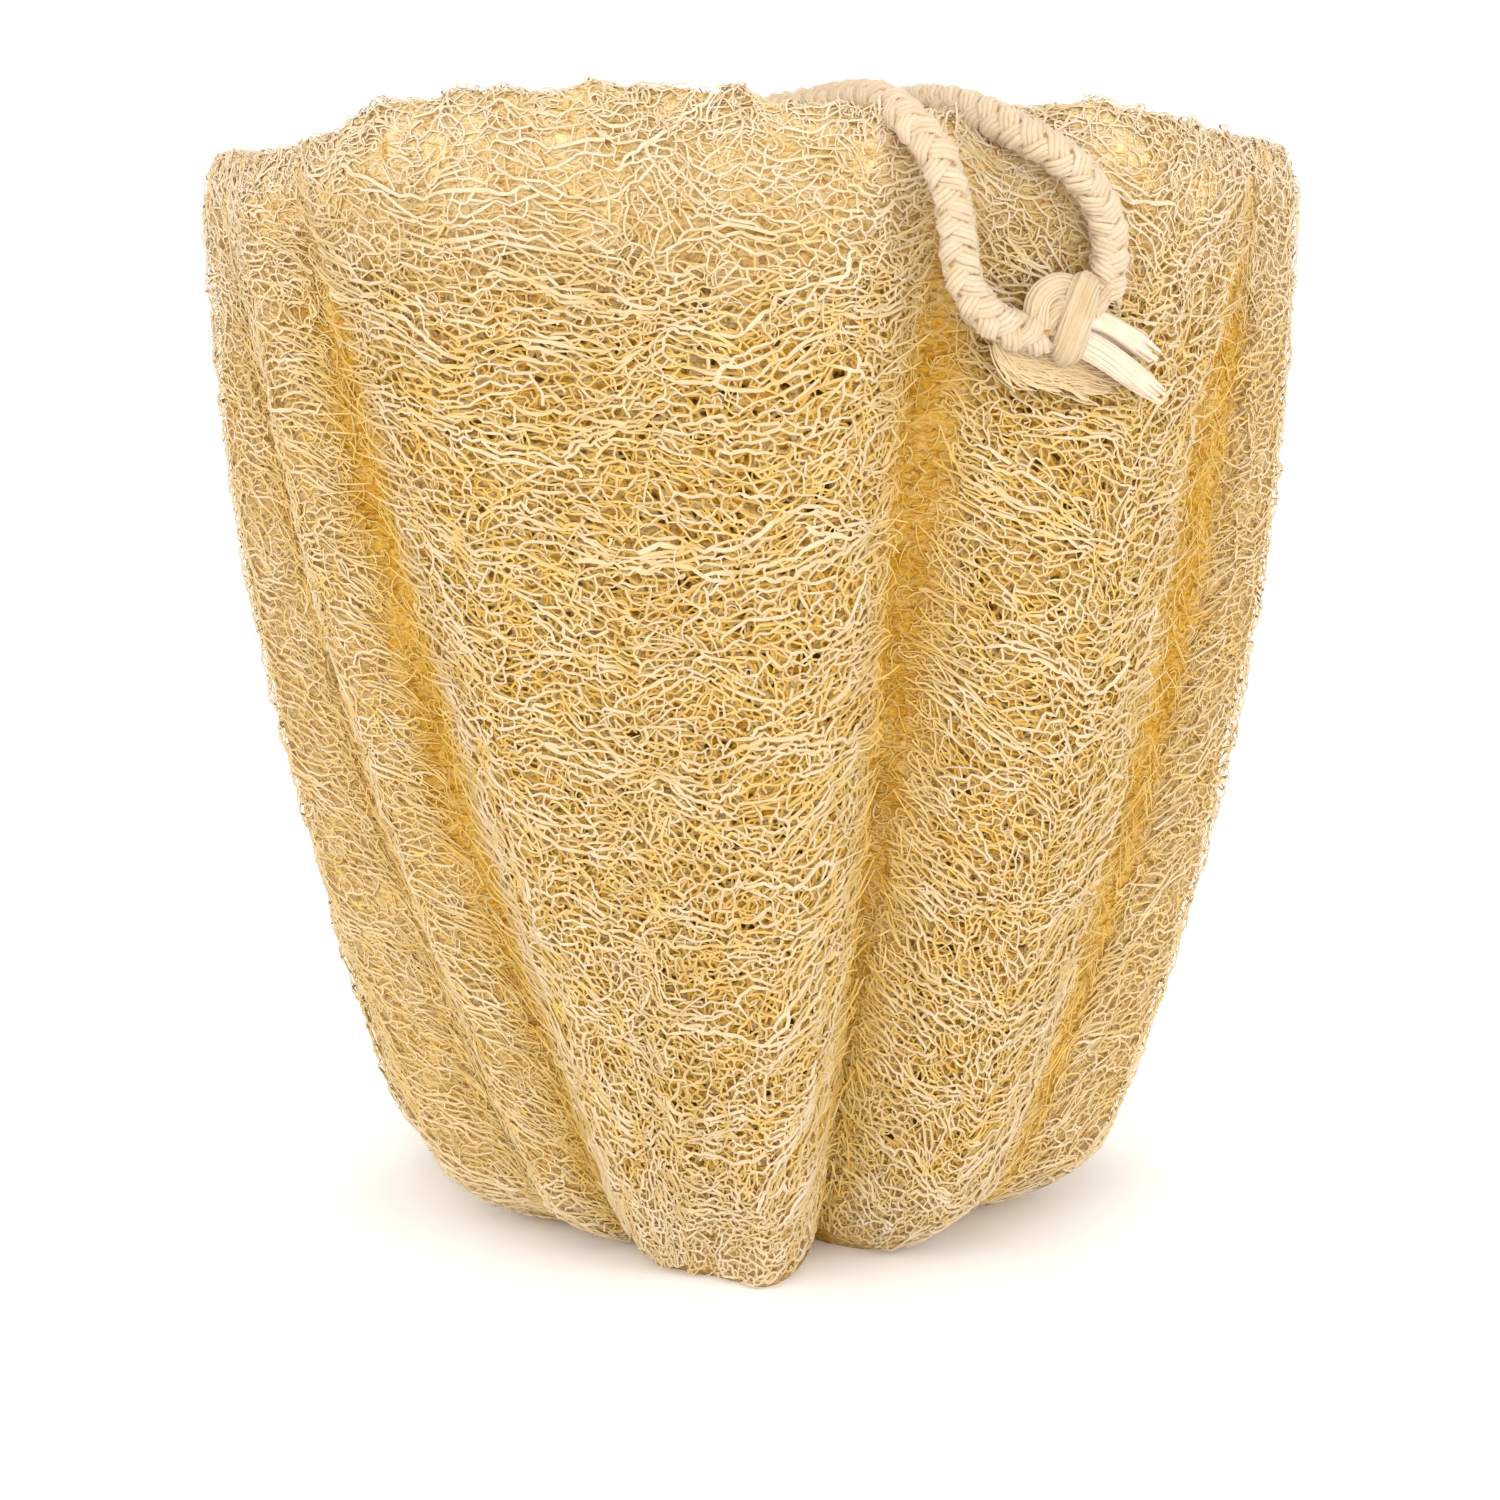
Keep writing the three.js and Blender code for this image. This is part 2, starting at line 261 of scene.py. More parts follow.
DENSITY_KEPT = (0.65, 0.9, 0.97, 0.97, 0.7, 0.33, 0.33, 0.65)
FRONT_RIBS = 6
SPARE_BEND = 15
STRAND_SIDES = 3
DEEP_STRAND_SIDES = 2
FRINGE_SPACING = 0.8
FRINGE_SPACING_BEHIND = 2
FRINGE_STEPS = 5
FRINGE_ROOTS = (1.5, 8.5)
FRINGE_THICKNESS = (0.34, 0.16)
FRINGE_TONE = 0.7

# Tufts: how many, their lowest and highest root, length, thickness, tone and seed
# The rim's tufts are paler than the side's, partly wear and partly painted light
TUFTS = {
    "rim_tufts": (2600, HEIGHT - 6, HEIGHT + 3, 3.2, 0.38, 0.92, 40),
    "rim_fluff": (1000, HEIGHT - 30, HEIGHT - 2, 4.5, 0.22, 0.92, 43),
    "side_tufts": (1900, 2, HEIGHT - 5, 5, 0.28, 0.84, 41),
}
TUFT_STEPS = 6
TUFT_STAND = 1.2
CURL = 4

# Fibres felted into the furrows' floors
MAT_FIBRES = 3200
MAT_STEPS = 5
MAT_LENGTH = 4.5
MAT_STAND = 0.6
MAT_THICKNESS = 0.24
MAT_TONE = 0.72


def scattered_net(width, height, cell, aspect, kept, draws, scatter=0.42):
    """Nodes and links of an irregular net over a field: cells round scattered places, wider than tall."""
    columns = int(width / (cell * aspect)) + 3
    rows = int(height / (cell * ROW_STEP)) + 3
    column, row = (a.ravel() for a in np.meshgrid(np.arange(-2, columns), np.arange(-2, rows)))
    shift = draws.uniform(-scatter, scatter, (2, len(column)))
    seeds = np.stack([column + 0.5 * (row % 2) + shift[0], ROW_STEP * row + shift[1]], -1)
    seeds = seeds[draws.random(len(seeds)) < kept(seeds * (cell * aspect, cell))]
    cells = delaunay_2d_cdt([Vector(s) for s in seeds], [], [], 0, 1e-7)
    corners = np.array(cells[2])
    nodes = np.array([(v.x, v.y) for v in cells[0]])[corners].mean(1) * (cell * aspect, cell)
    sides = np.sort(np.concatenate([corners[:, [0, 1]], corners[:, [1, 2]], corners[:, [2, 0]]]), axis=1)
    owner = np.tile(np.arange(len(corners)), 3)
    order = np.lexsort(sides.T)
    shared = np.flatnonzero((sides[order][1:] == sides[order][:-1]).all(1))
    return nodes, np.stack([owner[order][shared], owner[order][shared + 1]], -1)


def through_strands(nodes, links, level):
    """At each node the two straightest links run through as one strand, level ones first."""
    ends = links.ravel()
    order = np.argsort(ends, kind="stable")
    counts = np.bincount(ends, minlength=len(nodes))
    first = np.concatenate([[0], np.cumsum(counts)[:-1]])
    slots = np.full((len(nodes), 3), -1)
    for k in range(3):
        has = counts > k
        slots[has, k] = order[first[has] + k] // 2
    far = links[slots].sum(2) - np.arange(len(nodes))[:, None]
    ways = nodes[np.where(slots < 0, 0, far)] - nodes[:, None]
    ways /= np.maximum(np.linalg.norm(ways, axis=2), 1e-9)[..., None]
    pairs = np.array([(0, 1), (0, 2), (1, 2)])
    straight = np.stack([-(ways[:, a] * ways[:, b]).sum(1) for a, b in pairs], -1)
    flat = np.stack([np.abs(ways[:, a, 0]) + np.abs(ways[:, b, 0]) for a, b in pairs], -1)
    missing = np.stack([(slots[:, a] < 0) | (slots[:, b] < 0) for a, b in pairs], -1)
    score = np.where(missing | (straight < 0), -9, straight + level * flat)
    best = pairs[score.argmax(1)]
    runs = score.max(1) > -9
    nodes_all = np.arange(len(nodes))
    before, after = slots[nodes_all, best[:, 0]], slots[nodes_all, best[:, 1]]
    before[~runs] = after[~runs] = -1
    neighbours = np.stack([far[nodes_all, best[:, 0]], far[nodes_all, best[:, 1]]], -1)
    return before, after, np.where(runs[:, None], neighbours, nodes_all[:, None])


def chained(links, before, after):
    """Node lists of the strands."""
    used = np.zeros(len(links), bool)
    pairs = links.tolist()
    before, after = before.tolist(), after.tolist()

    def follow(link, node):
        chain = [pairs[link][0] + pairs[link][1] - node, node]
        used[link] = True
        while True:
            onward = after[node] if before[node] == link else before[node] if after[node] == link else -1
            if onward < 0 or used[onward]:
                return chain
            used[onward] = True
            node = pairs[onward][0] + pairs[onward][1] - node
            chain.append(node)
            link = onward

    chains = []
    for link, (a, b) in enumerate(pairs):
        for start, node in ((a, b), (b, a)):
            if not used[link] and link not in (before[start], after[start]):
                chains.append(follow(link, node))
    for link, (a, b) in enumerate(pairs):
        if not used[link]:
            chains.append(follow(link, b))
    return chains


def eased(nodes, neighbours, times):
    """The nodes drawn towards the middle of their strand's neighbours, which rounds the strands."""
    for _ in range(times):
        nodes = 0.5 * nodes + 0.25 * (nodes[neighbours[:, 0]] + nodes[neighbours[:, 1]])
    return nodes


def cells_kept(along):
    """Share of a net's cells that is kept: all of them at the front, and fewer and larger ones behind."""
    return np.interp(along, DENSITY_ALONG, DENSITY_KEPT)


def numbered(sizes):
    """The number of each point in its strand, and the places of that strand's first and last point."""
    start = np.repeat(np.cumsum(sizes) - sizes, sizes)
    end = np.repeat(np.cumsum(sizes) - 1, sizes)
    return np.arange(len(start)) - start, start, end


def curved(places, sizes):
    """Strands with a point put in at the middle of each step, on the curve through its neighbours."""
    _, start, end = numbered(sizes)
    here = np.arange(len(places))
    before, after, beyond = (np.clip(here + k, start, end) for k in (-1, 1, 2))
    middles = (9 * (places + places[after]) - places[before] - places[beyond]) / 16
    doubled = np.stack([places, middles], 1).reshape(-1, places.shape[1])
    return np.delete(doubled, 2 * np.cumsum(sizes) - 1, axis=0), 2 * sizes - 1


def bowed(places, sizes, bow, draws):
    """Strands with the middle of each step pushed aside, by about a share of the step, and then rounded."""
    places, sizes = curved(places, sizes)
    number, start, end = numbered(sizes)
    middle = np.flatnonzero(number % 2)
    ahead = places[middle + 1, :2] - places[middle - 1, :2]
    push = draws.normal(0, bow, len(middle))[:, None]
    places[middle, :2] += np.stack([-ahead[:, 1], ahead[:, 0]], -1) * push
    here = np.arange(len(places))
    inner = ((here > start) & (here < end))[:, None]
    before, after = np.maximum(here - 1, 0), np.minimum(here + 1, len(here) - 1)
    return np.where(inner, 0.5 * places + 0.25 * (places[before] + places[after]), places), sizes


def straightened(places, sizes):
    """Strands without the points at which they hardly bend, every other one at most."""
    number, _, end = numbered(sizes)
    before = np.diff(places[:, :3], axis=0, prepend=places[:1, :3])
    after = np.diff(places[:, :3], axis=0, append=places[-1:, :3])
    steps = np.linalg.norm(before, axis=1) * np.linalg.norm(after, axis=1)
    straight = (before * after).sum(1) > math.cos(math.radians(SPARE_BEND)) * steps
    kept = ~((number % 2 == 1) & (np.arange(len(places)) < end) & straight)
    strand = np.repeat(np.arange(len(sizes)), sizes)
    return places[kept], np.bincount(strand[kept])


def spared(points, sizes):
    """Strands as the sweep takes them, twice without the points that they can spare."""
    points, sizes = straightened(*straightened(points, sizes))
    return points[:, :3], sizes, list(points[:, 3:].T)


def laced(nodes, links, spec, seed):
    """A net's strands as curved lines in its own field, each point with its depth, boldness and tone."""
    draws = np.random.default_rng(seed)
    before, after, neighbours = through_strands(nodes, links, spec["level"])
    chains = [c for c in chained(links, before, after) if len(c) > 4 or draws.random() > spec["dropped"]]
    nodes = eased(nodes, neighbours, spec["eased"])
    sizes = np.array([len(c) for c in chains])
    which = np.concatenate(chains)
    rank = np.clip(sizes / 18, 0, 1) ** 0.8
    bold = mix(spec["thin"], spec["thick"], rank * draws.uniform(0.3, 1, len(chains)))
    bold *= draws.uniform(0.85, 1.15, len(chains))
    tone = spec["tone"] + 0.08 * (rank - 0.5) + draws.normal(0, 0.06, len(chains))
    sink = spec["sink_swing"] * swell(nodes, 8, seed + 3) + draws.uniform(-0.3, 0.3, len(nodes))
    lines = np.column_stack([nodes[which], sink[which], np.repeat(bold, sizes), np.repeat(tone, sizes)])
    lines, sizes = bowed(lines, sizes, spec["bow"], draws)
    waist = np.where(numbered(sizes)[0] % 2, 0.84, 1.16) * (1 + 0.18 * swell(lines[:, :2], 6, seed + 4))
    lines[:, 3] *= waist
    # Painted shade: strands are darker in tone the deeper they sink
    lines[:, 4] -= 0.09 * lines[:, 2]
    return lines, sizes


def net_strands(spec, seed):
    """Strands over the outside of the sponge."""
    draws = np.random.default_rng(seed)
    top = HEIGHT + spec["over"]
    nodes, links = scattered_net(
        GIRTH, top, spec["cell"], spec["aspect"], lambda seeds: cells_kept(along_at(seeds[:, 0])), draws
    )
    nodes = nodes + np.stack([swell(nodes, 26, seed + 1), swell(nodes, 20, seed + 2)], -1) * 1.1
    along = along_at(np.clip(nodes[:, 0], 0, GIRTH))
    gap, furrow = from_furrow(along)
    foot = 1.4 + swell(nodes, 9, seed + 8)
    inside = (nodes[:, 0] > 0) & (nodes[:, 0] < GIRTH) & (nodes[:, 1] > foot) & (nodes[:, 1] < top)
    ragged = 1 + 0.35 * swell(nodes, 7, seed + 5) + draws.uniform(-0.3, 0.3, len(nodes))
    bare = gap < bare_half_width(furrow, nodes[:, 1]) * spec["bare"] * ragged
    buried = felted(along, nodes[:, 1]) > spec["buried"] + draws.uniform(-0.1, 0.1, len(nodes))
    lines, sizes = laced(nodes, links[(inside & ~bare & ~buried)[links].all(1)], spec, seed)
    along = along_at(np.clip(lines[:, 0], 0, GIRTH - 0.01))
    rise = np.clip(lines[:, 1] + lift(along, lines[:, 1]), 0.6, None)
    matted = felted(along, rise)
    sink = (spec["sink"] + lines[:, 2]) * (1 - 0.35 * matted)
    thickness = lines[:, 3] * (1 - 0.2 * matted) * cells_kept(along) ** -0.35
    # Paler strands with less honey at the rim, partly wear and partly painted light, and at the feet,
    # painted light
    tone = lines[:, 4] + 0.14 * paleness(rise)
    dull = by_rib(RIB_FELTED, along) * mix(0.15, 0.5, smoothstep(75, 20, rise))
    warmth = np.maximum(spec["warmth"], dull) * (1 - paleness(rise))
    # Painted warm shade, partly their own colour: strands take on honey as they sink deeper
    warmth = np.maximum(np.maximum(furrow_warmth(along, rise), warmth), 0.5 * smoothstep(0, 0.7, sink))
    away = outward(along, rise)
    points = np.column_stack([outside(along, rise, sink), np.maximum(thickness, 0.2), tone, warmth, away])
    return spared(points, sizes)


def top_strands(spec, seed):
    """A coarse net over the cut upper end, between the rim and the seed channels."""
    width = 2 * TOP_RADIUS
    draws = np.random.default_rng(seed)
    nodes, links = scattered_net(width, width, spec["cell"], 1.1, lambda seeds: 0.95, draws)
    nodes = nodes - TOP_RADIUS
    clear = np.linalg.norm(nodes, axis=1) < TOP_RADIUS - 13
    for middle in channel_middles():
        clear &= np.linalg.norm(nodes - middle, axis=1) > CHANNEL_RADIUS + 0.4
    lines, sizes = laced(nodes, links[clear[links].all(1)], spec, seed)
    floor = outside(ALONG_STEPS, HEIGHT + 12, FELT_SINK_WORN)[:, 2].mean()
    height = floor + (0.6 - 0.7 * lines[:, 2]) * MM
    upward = np.tile((0, 0, 0, 1), (len(lines), 1))
    points = np.column_stack([lines[:, :2] * MM, height, lines[:, 3:], upward])
    return spared(points, sizes)


def paleness(rise):
    """One at the rim, partly wear and partly painted light, less at the feet, painted light, and nought
    between.
    """
    rim = smoothstep(WORN_AND_LIT_RIM_START, WORN_AND_LIT_RIM_FULL, rise)
    return np.maximum(rim, PAINTED_LIGHT_FEET * smoothstep(PAINTED_LIGHT_FEET_START, PAINTED_LIGHT_FEET_FULL, rise))


def furrow_warmth(along, rise):
    """How much of the furrows' honey colour a place has."""
    gap, furrow = from_furrow(along)
    near = smoothstep(HONEY_REACH + HONEY_REACH_PER_DEPTH * FURROW_DEPTH[furrow], HONEY_INNER, gap)
    low = smoothstep(HEIGHT, HONEY_TOP, rise)
    return near * low * mix(0.3, 1, FURROW_MATTED[furrow])


# Loose fibres
def laid(*rows):
    """Fibres with equally many points, one in each row, laid on the sponge and warmed by its furrows."""
    along, rise, sink, thickness, tone = np.broadcast_arrays(*rows)
    sizes = np.full(*along.shape)
    along, rise, sink, thickness, tone = (a.ravel() for a in (along, rise, sink, thickness, tone))
    warmth = furrow_warmth(along, rise)
    return outside(along, rise, sink), sizes, [thickness, tone, warmth, *outward(along, rise).T]


def fringe_strands(seed):
    """Free ends that comb out of the nets into each furrow."""
    draws = np.random.default_rng(seed)
    made = []
    for furrow in range(RIBS):
        spacing = FRINGE_SPACING if furrow <= FRONT_RIBS else FRINGE_SPACING_BEHIND
        for side in (-1, 1):
            count = int((HEIGHT - 14) / spacing * FRINGE_SHARE[furrow])
            share = np.linspace(0, 1, FRINGE_STEPS)[None, :]
            rise = draws.uniform(5, HEIGHT - 12, (count, 1))
            bare = bare_half_width(furrow, rise) + 0.6
            root = bare + draws.uniform(*FRINGE_ROOTS, (count, 1))
            tip = bare * draws.uniform(FRINGE_REACH[furrow], 1.05, (count, 1))
            girth = GIRTH_STEPS[RIB_STEPS * furrow] + side * mix(root, tip, share)
            along = along_at(np.mod(girth, GIRTH))
            wave = draws.uniform(-1, 1, (count, 1))
            wave = wave * np.sin(np.pi * share * draws.uniform(0.7, 1.6, (count, 1)))
            height = rise + lift(along, rise) + 1.7 * wave + draws.normal(0, 2, (count, 1)) * share**2
            sink = 0.5 - draws.uniform(0.05, 0.5, (count, 1)) * furrow_hollow(along, rise) * share
            sink = sink - 0.9 * np.sin(np.pi * share) + draws.uniform(-0.4, 0.9, (count, 1))
            thickness = mix(*FRINGE_THICKNESS, share**1.5) * draws.uniform(0.75, 1.15, (count, 1))
            tone = draws.normal(FRINGE_TONE, 0.09, (count, 1))
            made.append((along, np.maximum(height, 0.7), sink, thickness, tone))
    return laid(*(np.concatenate(rows) for rows in zip(*made)))


def curl_strands(along, rise, steps, length, stand, thickness, tone, draws):
    """Short curling fibres that start at the given places and stand out of the sponge as far as given."""
    count = len(along)
    share = np.linspace(0, 1, steps)[None, :]
    heading = draws.uniform(0, math.tau, (count, 1))
    curl = draws.normal(0, CURL, (count, 1)) * share
    reach = draws.uniform(0.5, 1.3, (count, 1)) * length / (steps - 1)
    girth = np.cumsum(np.cos(heading + curl) * reach, axis=1)
    climb = np.cumsum(np.sin(heading + curl) * reach, axis=1)
    raised = draws.uniform(0.1, 1, (count, 1)) * np.sin(np.pi * share * draws.uniform(0.5, 1, (count, 1)))
    along = along[:, None] + girth * RIBS / GIRTH
    rise = np.maximum(rise[:, None] + climb, 0.7)
    sink = 0.5 - stand * raised
    girths = thickness * draws.uniform(0.7, 1.2, (count, 1)) * mix(1, 0.6, share)
    tone = draws.normal(tone, 0.07, (count, 1))
    return laid(np.mod(along, RIBS), rise, sink, girths, tone)


def tuft_strands(count, low, high, length, thickness, tone, seed):
    """Loose curls between two heights, all round the sponge."""
    draws = np.random.default_rng(seed)
    along, rise = draws.uniform(0, RIBS, count), draws.uniform(low, high, count)
    return curl_strands(along, rise, TUFT_STEPS, length, TUFT_STAND, thickness, tone, draws)


def mat_strands(count, seed):
    """Fine fibres felted into the furrows' floors, more of them where the floor is wider."""
    draws = np.random.default_rng(seed)
    furrow = draws.choice(RIBS, count, p=FURROW_MATTED / FURROW_MATTED.sum())
    rise = draws.uniform(4, 0.93 * HEIGHT, count)
    girth = GIRTH_STEPS[RIB_STEPS * furrow] + draws.normal(0, 1, count) * (0.6 * FURROW_BARE[furrow] + 2)
    along = along_at(np.mod(girth, GIRTH))
    return curl_strands(along, rise, MAT_STEPS, MAT_LENGTH, MAT_STAND, MAT_THICKNESS, MAT_TONE, draws)


# Nodes in trees
def to_linear(hex_colour):
    channels = [int(hex_colour[i : i + 2], 16) / 255 for i in (0, 2, 4)]
    return (*(c / 12.92 if c <= 0.04045 else ((c + 0.055) / 1.055) ** 2.4 for c in channels), 1)


def add(tree, kind, settings=None, **inputs):
    """Adds a node, sets its properties, and fills its inputs with values or links, by name or by number."""
    node = tree.nodes.new(kind)
    for key, value in (settings or {}).items():
        setattr(node, key, value)
    for key, value in inputs.items():
        socket = node.inputs[int(key[1:]) if key[1:].isdigit() else key.replace("_", " ")]
        if isinstance(value, bpy.types.NodeSocket):
            tree.links.new(value, socket)
        else:
            socket.default_value = value
    return node


def ramp(tree, share, stops):
    """Colours along a share, blended from stop to stop."""
    node = add(tree, "ShaderNodeValToRGB", Fac=share)
    elements = node.color_ramp.elements
    while len(elements) < len(stops):
        elements.new(0.5)
    for element, (place, colour) in zip(elements, stops):
        element.position = place
        element.color = to_linear(colour)
    return node.outputs[0]


def blend(tree, share, first, second, kind="MIX"):
    settings = {"data_type": "RGBA", "blend_type": kind}
    return add(tree, "ShaderNodeMix", settings, _0=share, _6=first, _7=second).outputs[2]


def maths(tree, operation, *values):
    inputs = {f"_{number}": value for number, value in enumerate(values)}
    return add(tree, "ShaderNodeMath", {"operation": operation}, **inputs).outputs[0]


def attribute(tree, name):
    return add(tree, "ShaderNodeAttribute", {"attribute_name": name}).outputs["Fac"]


def noise(tree, place, size, detail, output=0, **more):
    """Noise with swells of about the given size."""
    node = add(tree, "ShaderNodeTexNoise", Vector=place, Scale=1 / (size * MM), Detail=detail, **more)
    return node.outputs[output]


def new_material(name, roughness, specular):
    """A material with its node tree and its shader."""
    material = bpy.data.materials.new(name)
    material.use_nodes = True
    tree = material.node_tree
    shader = tree.nodes["Principled BSDF"]
    shader.inputs["Roughness"].default_value = roughness
    shader.inputs["Specular IOR Level"].default_value = specular
    return material, tree, shader


def mottled_tone(tree, place, size):
    """A strand's own tone, lighter and darker in spots of about the given size."""
    spots = maths(tree, "MULTIPLY_ADD", noise(tree, place, size, 3), 0.3, -0.15)
    return maths(tree, "ADD", spots, attribute(tree, "tone"))


def sweep_tree():
    """Sweeps a round section, or its outer half, along each polyline, as thick as its attribute says."""
    tree = bpy.data.node_groups.new("strand_sweep", "GeometryNodeTree")
    taken = (("Strands", "Geometry"), ("Sides", "Int"), ("Half Round", "Bool"), ("Material", "Material"))
    for name, kind in taken:
        tree.interface.new_socket(name, in_out="INPUT", socket_type="NodeSocket" + kind)
    tree.interface.new_socket("Mesh", in_out="OUTPUT", socket_type="NodeSocketGeometry")
    given = tree.nodes.new("NodeGroupInput").outputs
    lines = add(tree, "GeometryNodeMeshToCurve", Mesh=given["Strands"])
    away = add(tree, "GeometryNodeInputNamedAttribute", {"data_type": "FLOAT_VECTOR"}, Name="outward")
    turned = add(tree, "GeometryNodeSetCurveNormal", {"mode": "FREE"}, Curve=lines.outputs[0],
                 Normal=away.outputs[0])
    whole = add(tree, "GeometryNodeCurvePrimitiveCircle", {"mode": "RADIUS"}, Radius=0.5,
                Resolution=given["Sides"])
    half = add(tree, "GeometryNodeCurveArc", {"mode": "RADIUS"}, Resolution=given["Sides"], Radius=0.5,
               Start_Angle=-math.pi / 2, Sweep_Angle=math.pi)
    section = add(tree, "GeometryNodeSwitch", {"input_type": "GEOMETRY"}, _0=given["Half Round"],
                  _1=whole.outputs[0], _2=half.outputs[0])
    thickness = add(tree, "GeometryNodeInputNamedAttribute", {"data_type": "FLOAT"}, Name="thickness")
    swept = add(tree, "GeometryNodeCurveToMesh", Curve=turned.outputs[0], Profile_Curve=section.outputs[0],
                Scale=thickness.outputs[0], Fill_Caps=True)
    smooth = add(tree, "GeometryNodeSetShadeSmooth", Geometry=swept.outputs[0])
    real = add(tree, "GeometryNodeRealizeInstances", Geometry=smooth.outputs[0])
    dressed = add(tree, "GeometryNodeSetMaterial", Geometry=real.outputs[0], Material=given["Material"])
    add(tree, "NodeGroupOutput", Mesh=dressed.outputs[0])
    return tree


def by_side(strands):
    """Strands sorted into the four sides of the sponge, each with its name."""
    places, sizes, values = strands
    first = places[np.concatenate([[0], np.cumsum(sizes)[:-1]])]
    quarter = np.floor((np.degrees(np.arctan2(first[:, 0], -first[:, 1])) + 45) / 90).astype(int) % 4
    for number, side in enumerate(("front", "right", "back", "left")):
        chosen = quarter == number
        points = np.repeat(chosen, sizes)
        if chosen.any():
            yield side, (places[points], sizes[chosen], [v[points] for v in values])


def plain_object(name, mesh):
    made = bpy.data.objects.new(name, mesh)
    bpy.context.scene.collection.objects.link(made)
    return made


def swept(name, strands, tree, sides, material, half_round=False):
    """One piece made of all the strands, as a plain mesh."""
    places, sizes, (thickness, tone, warmth, *away) = strands
    starts = np.ones(len(places), bool)
    starts[np.cumsum(sizes)[:-1]] = False
    starts[0] = False
    upper = np.flatnonzero(starts)
    lines = bpy.data.meshes.new(name + "_lines")
    lines.from_pydata(places, np.stack([upper - 1, upper], -1), [])
    for key, values in (("thickness", thickness * MM), ("tone", tone), ("warmth", warmth)):
        lines.attributes.new(key, "FLOAT", "POINT").data.foreach_set("value", values.astype(np.float32))
    away = np.stack(away, -1).astype(np.float32).ravel()
    lines.attributes.new("outward", "FLOAT_VECTOR", "POINT").data.foreach_set("vector", away)
    guide = plain_object(name + "_lines", lines)
    modifier = guide.modifiers.new("sweep", "NODES")
    modifier.node_group = tree
    sockets = {s.name: s.identifier for s in tree.interface.items_tree if s.in_out == "INPUT"}
    modifier[sockets["Sides"]] = sides
    modifier[sockets["Half Round"]] = half_round
    modifier[sockets["Material"]] = material
    evaluated = guide.evaluated_get(bpy.context.evaluated_depsgraph_get())
    mesh = bpy.data.meshes.new_from_object(evaluated)
    bpy.data.objects.remove(guide)
    bpy.data.meshes.remove(lines)
    mesh.name = name
    return plain_object(name, mesh)


# Materials: the stops of each ramp run from its darkest colour to its lightest
STRAW = ((0, "97772E"), (0.3, "B8974A"), (0.55, "C6AA74"), (0.8, "CCB38B"), (1, "D6C1A3"))
HONEY = ((0, "97681C"), (0.3, "B6862E"), (0.55, "CAA044"), (0.8, "D4B266"), (1, "D9C08A"))
FELT_FIBRE = ((0.3, "DCBC7C"), (0.5, "E5C892"), (0.7, "EAD2A4"))
# The felt seen in the gaps; its darkest stop makes dark spots of painted shade for holes between fibres
FELT_GAP_PAINTED_SHADE = ((0.38, "4A3004"), (0.46, "B98828"), (0.55, "E0AC46"), (0.7, "ECC066"))
FURROW_MAT = ((0.3, "C4922A"), (0.5, "D0A23E"), (0.7, "D6AE52"))
# Pale felt for filled gaps: matting, and at the rim and feet partly painted light
MATTED_AND_LIT_FELT = ((0.3, "DCBC80"), (0.5, "E5C996"), (0.7, "EAD3A8"))
STREAKS = ((0.32, "B89C6C"), (0.48, "F0E6D2"), (0.6, "FFFFFF"))
CREAM = ((0.2, "B38F58"), (0.5, "C6AE8C"), (0.75, "D3C1A8"), (1, "EDD8BF"))
# A yellower cream, blended in by the warmth attribute, which only the fray has
YELLOW_CREAM = "DDBB84"


def fibre_material():
    """Dried loofah fibre: matt, straw coloured strands, warmer in furrows, paler at the rim (partly wear)
    and the feet by painted light, darker and warmer deeper in, partly by painted shade.
    """
    material, tree, shader = new_material("dried_loofah_fibre", 0.62, 0.1)
    place = add(tree, "ShaderNodeTexCoord").outputs["Object"]
    shade = mottled_tone(tree, place, 7)
    colour = blend(tree, attribute(tree, "warmth"), ramp(tree, shade, STRAW), ramp(tree, shade, HONEY))
    tree.links.new(colour, shader.inputs["Base Color"])
    return material


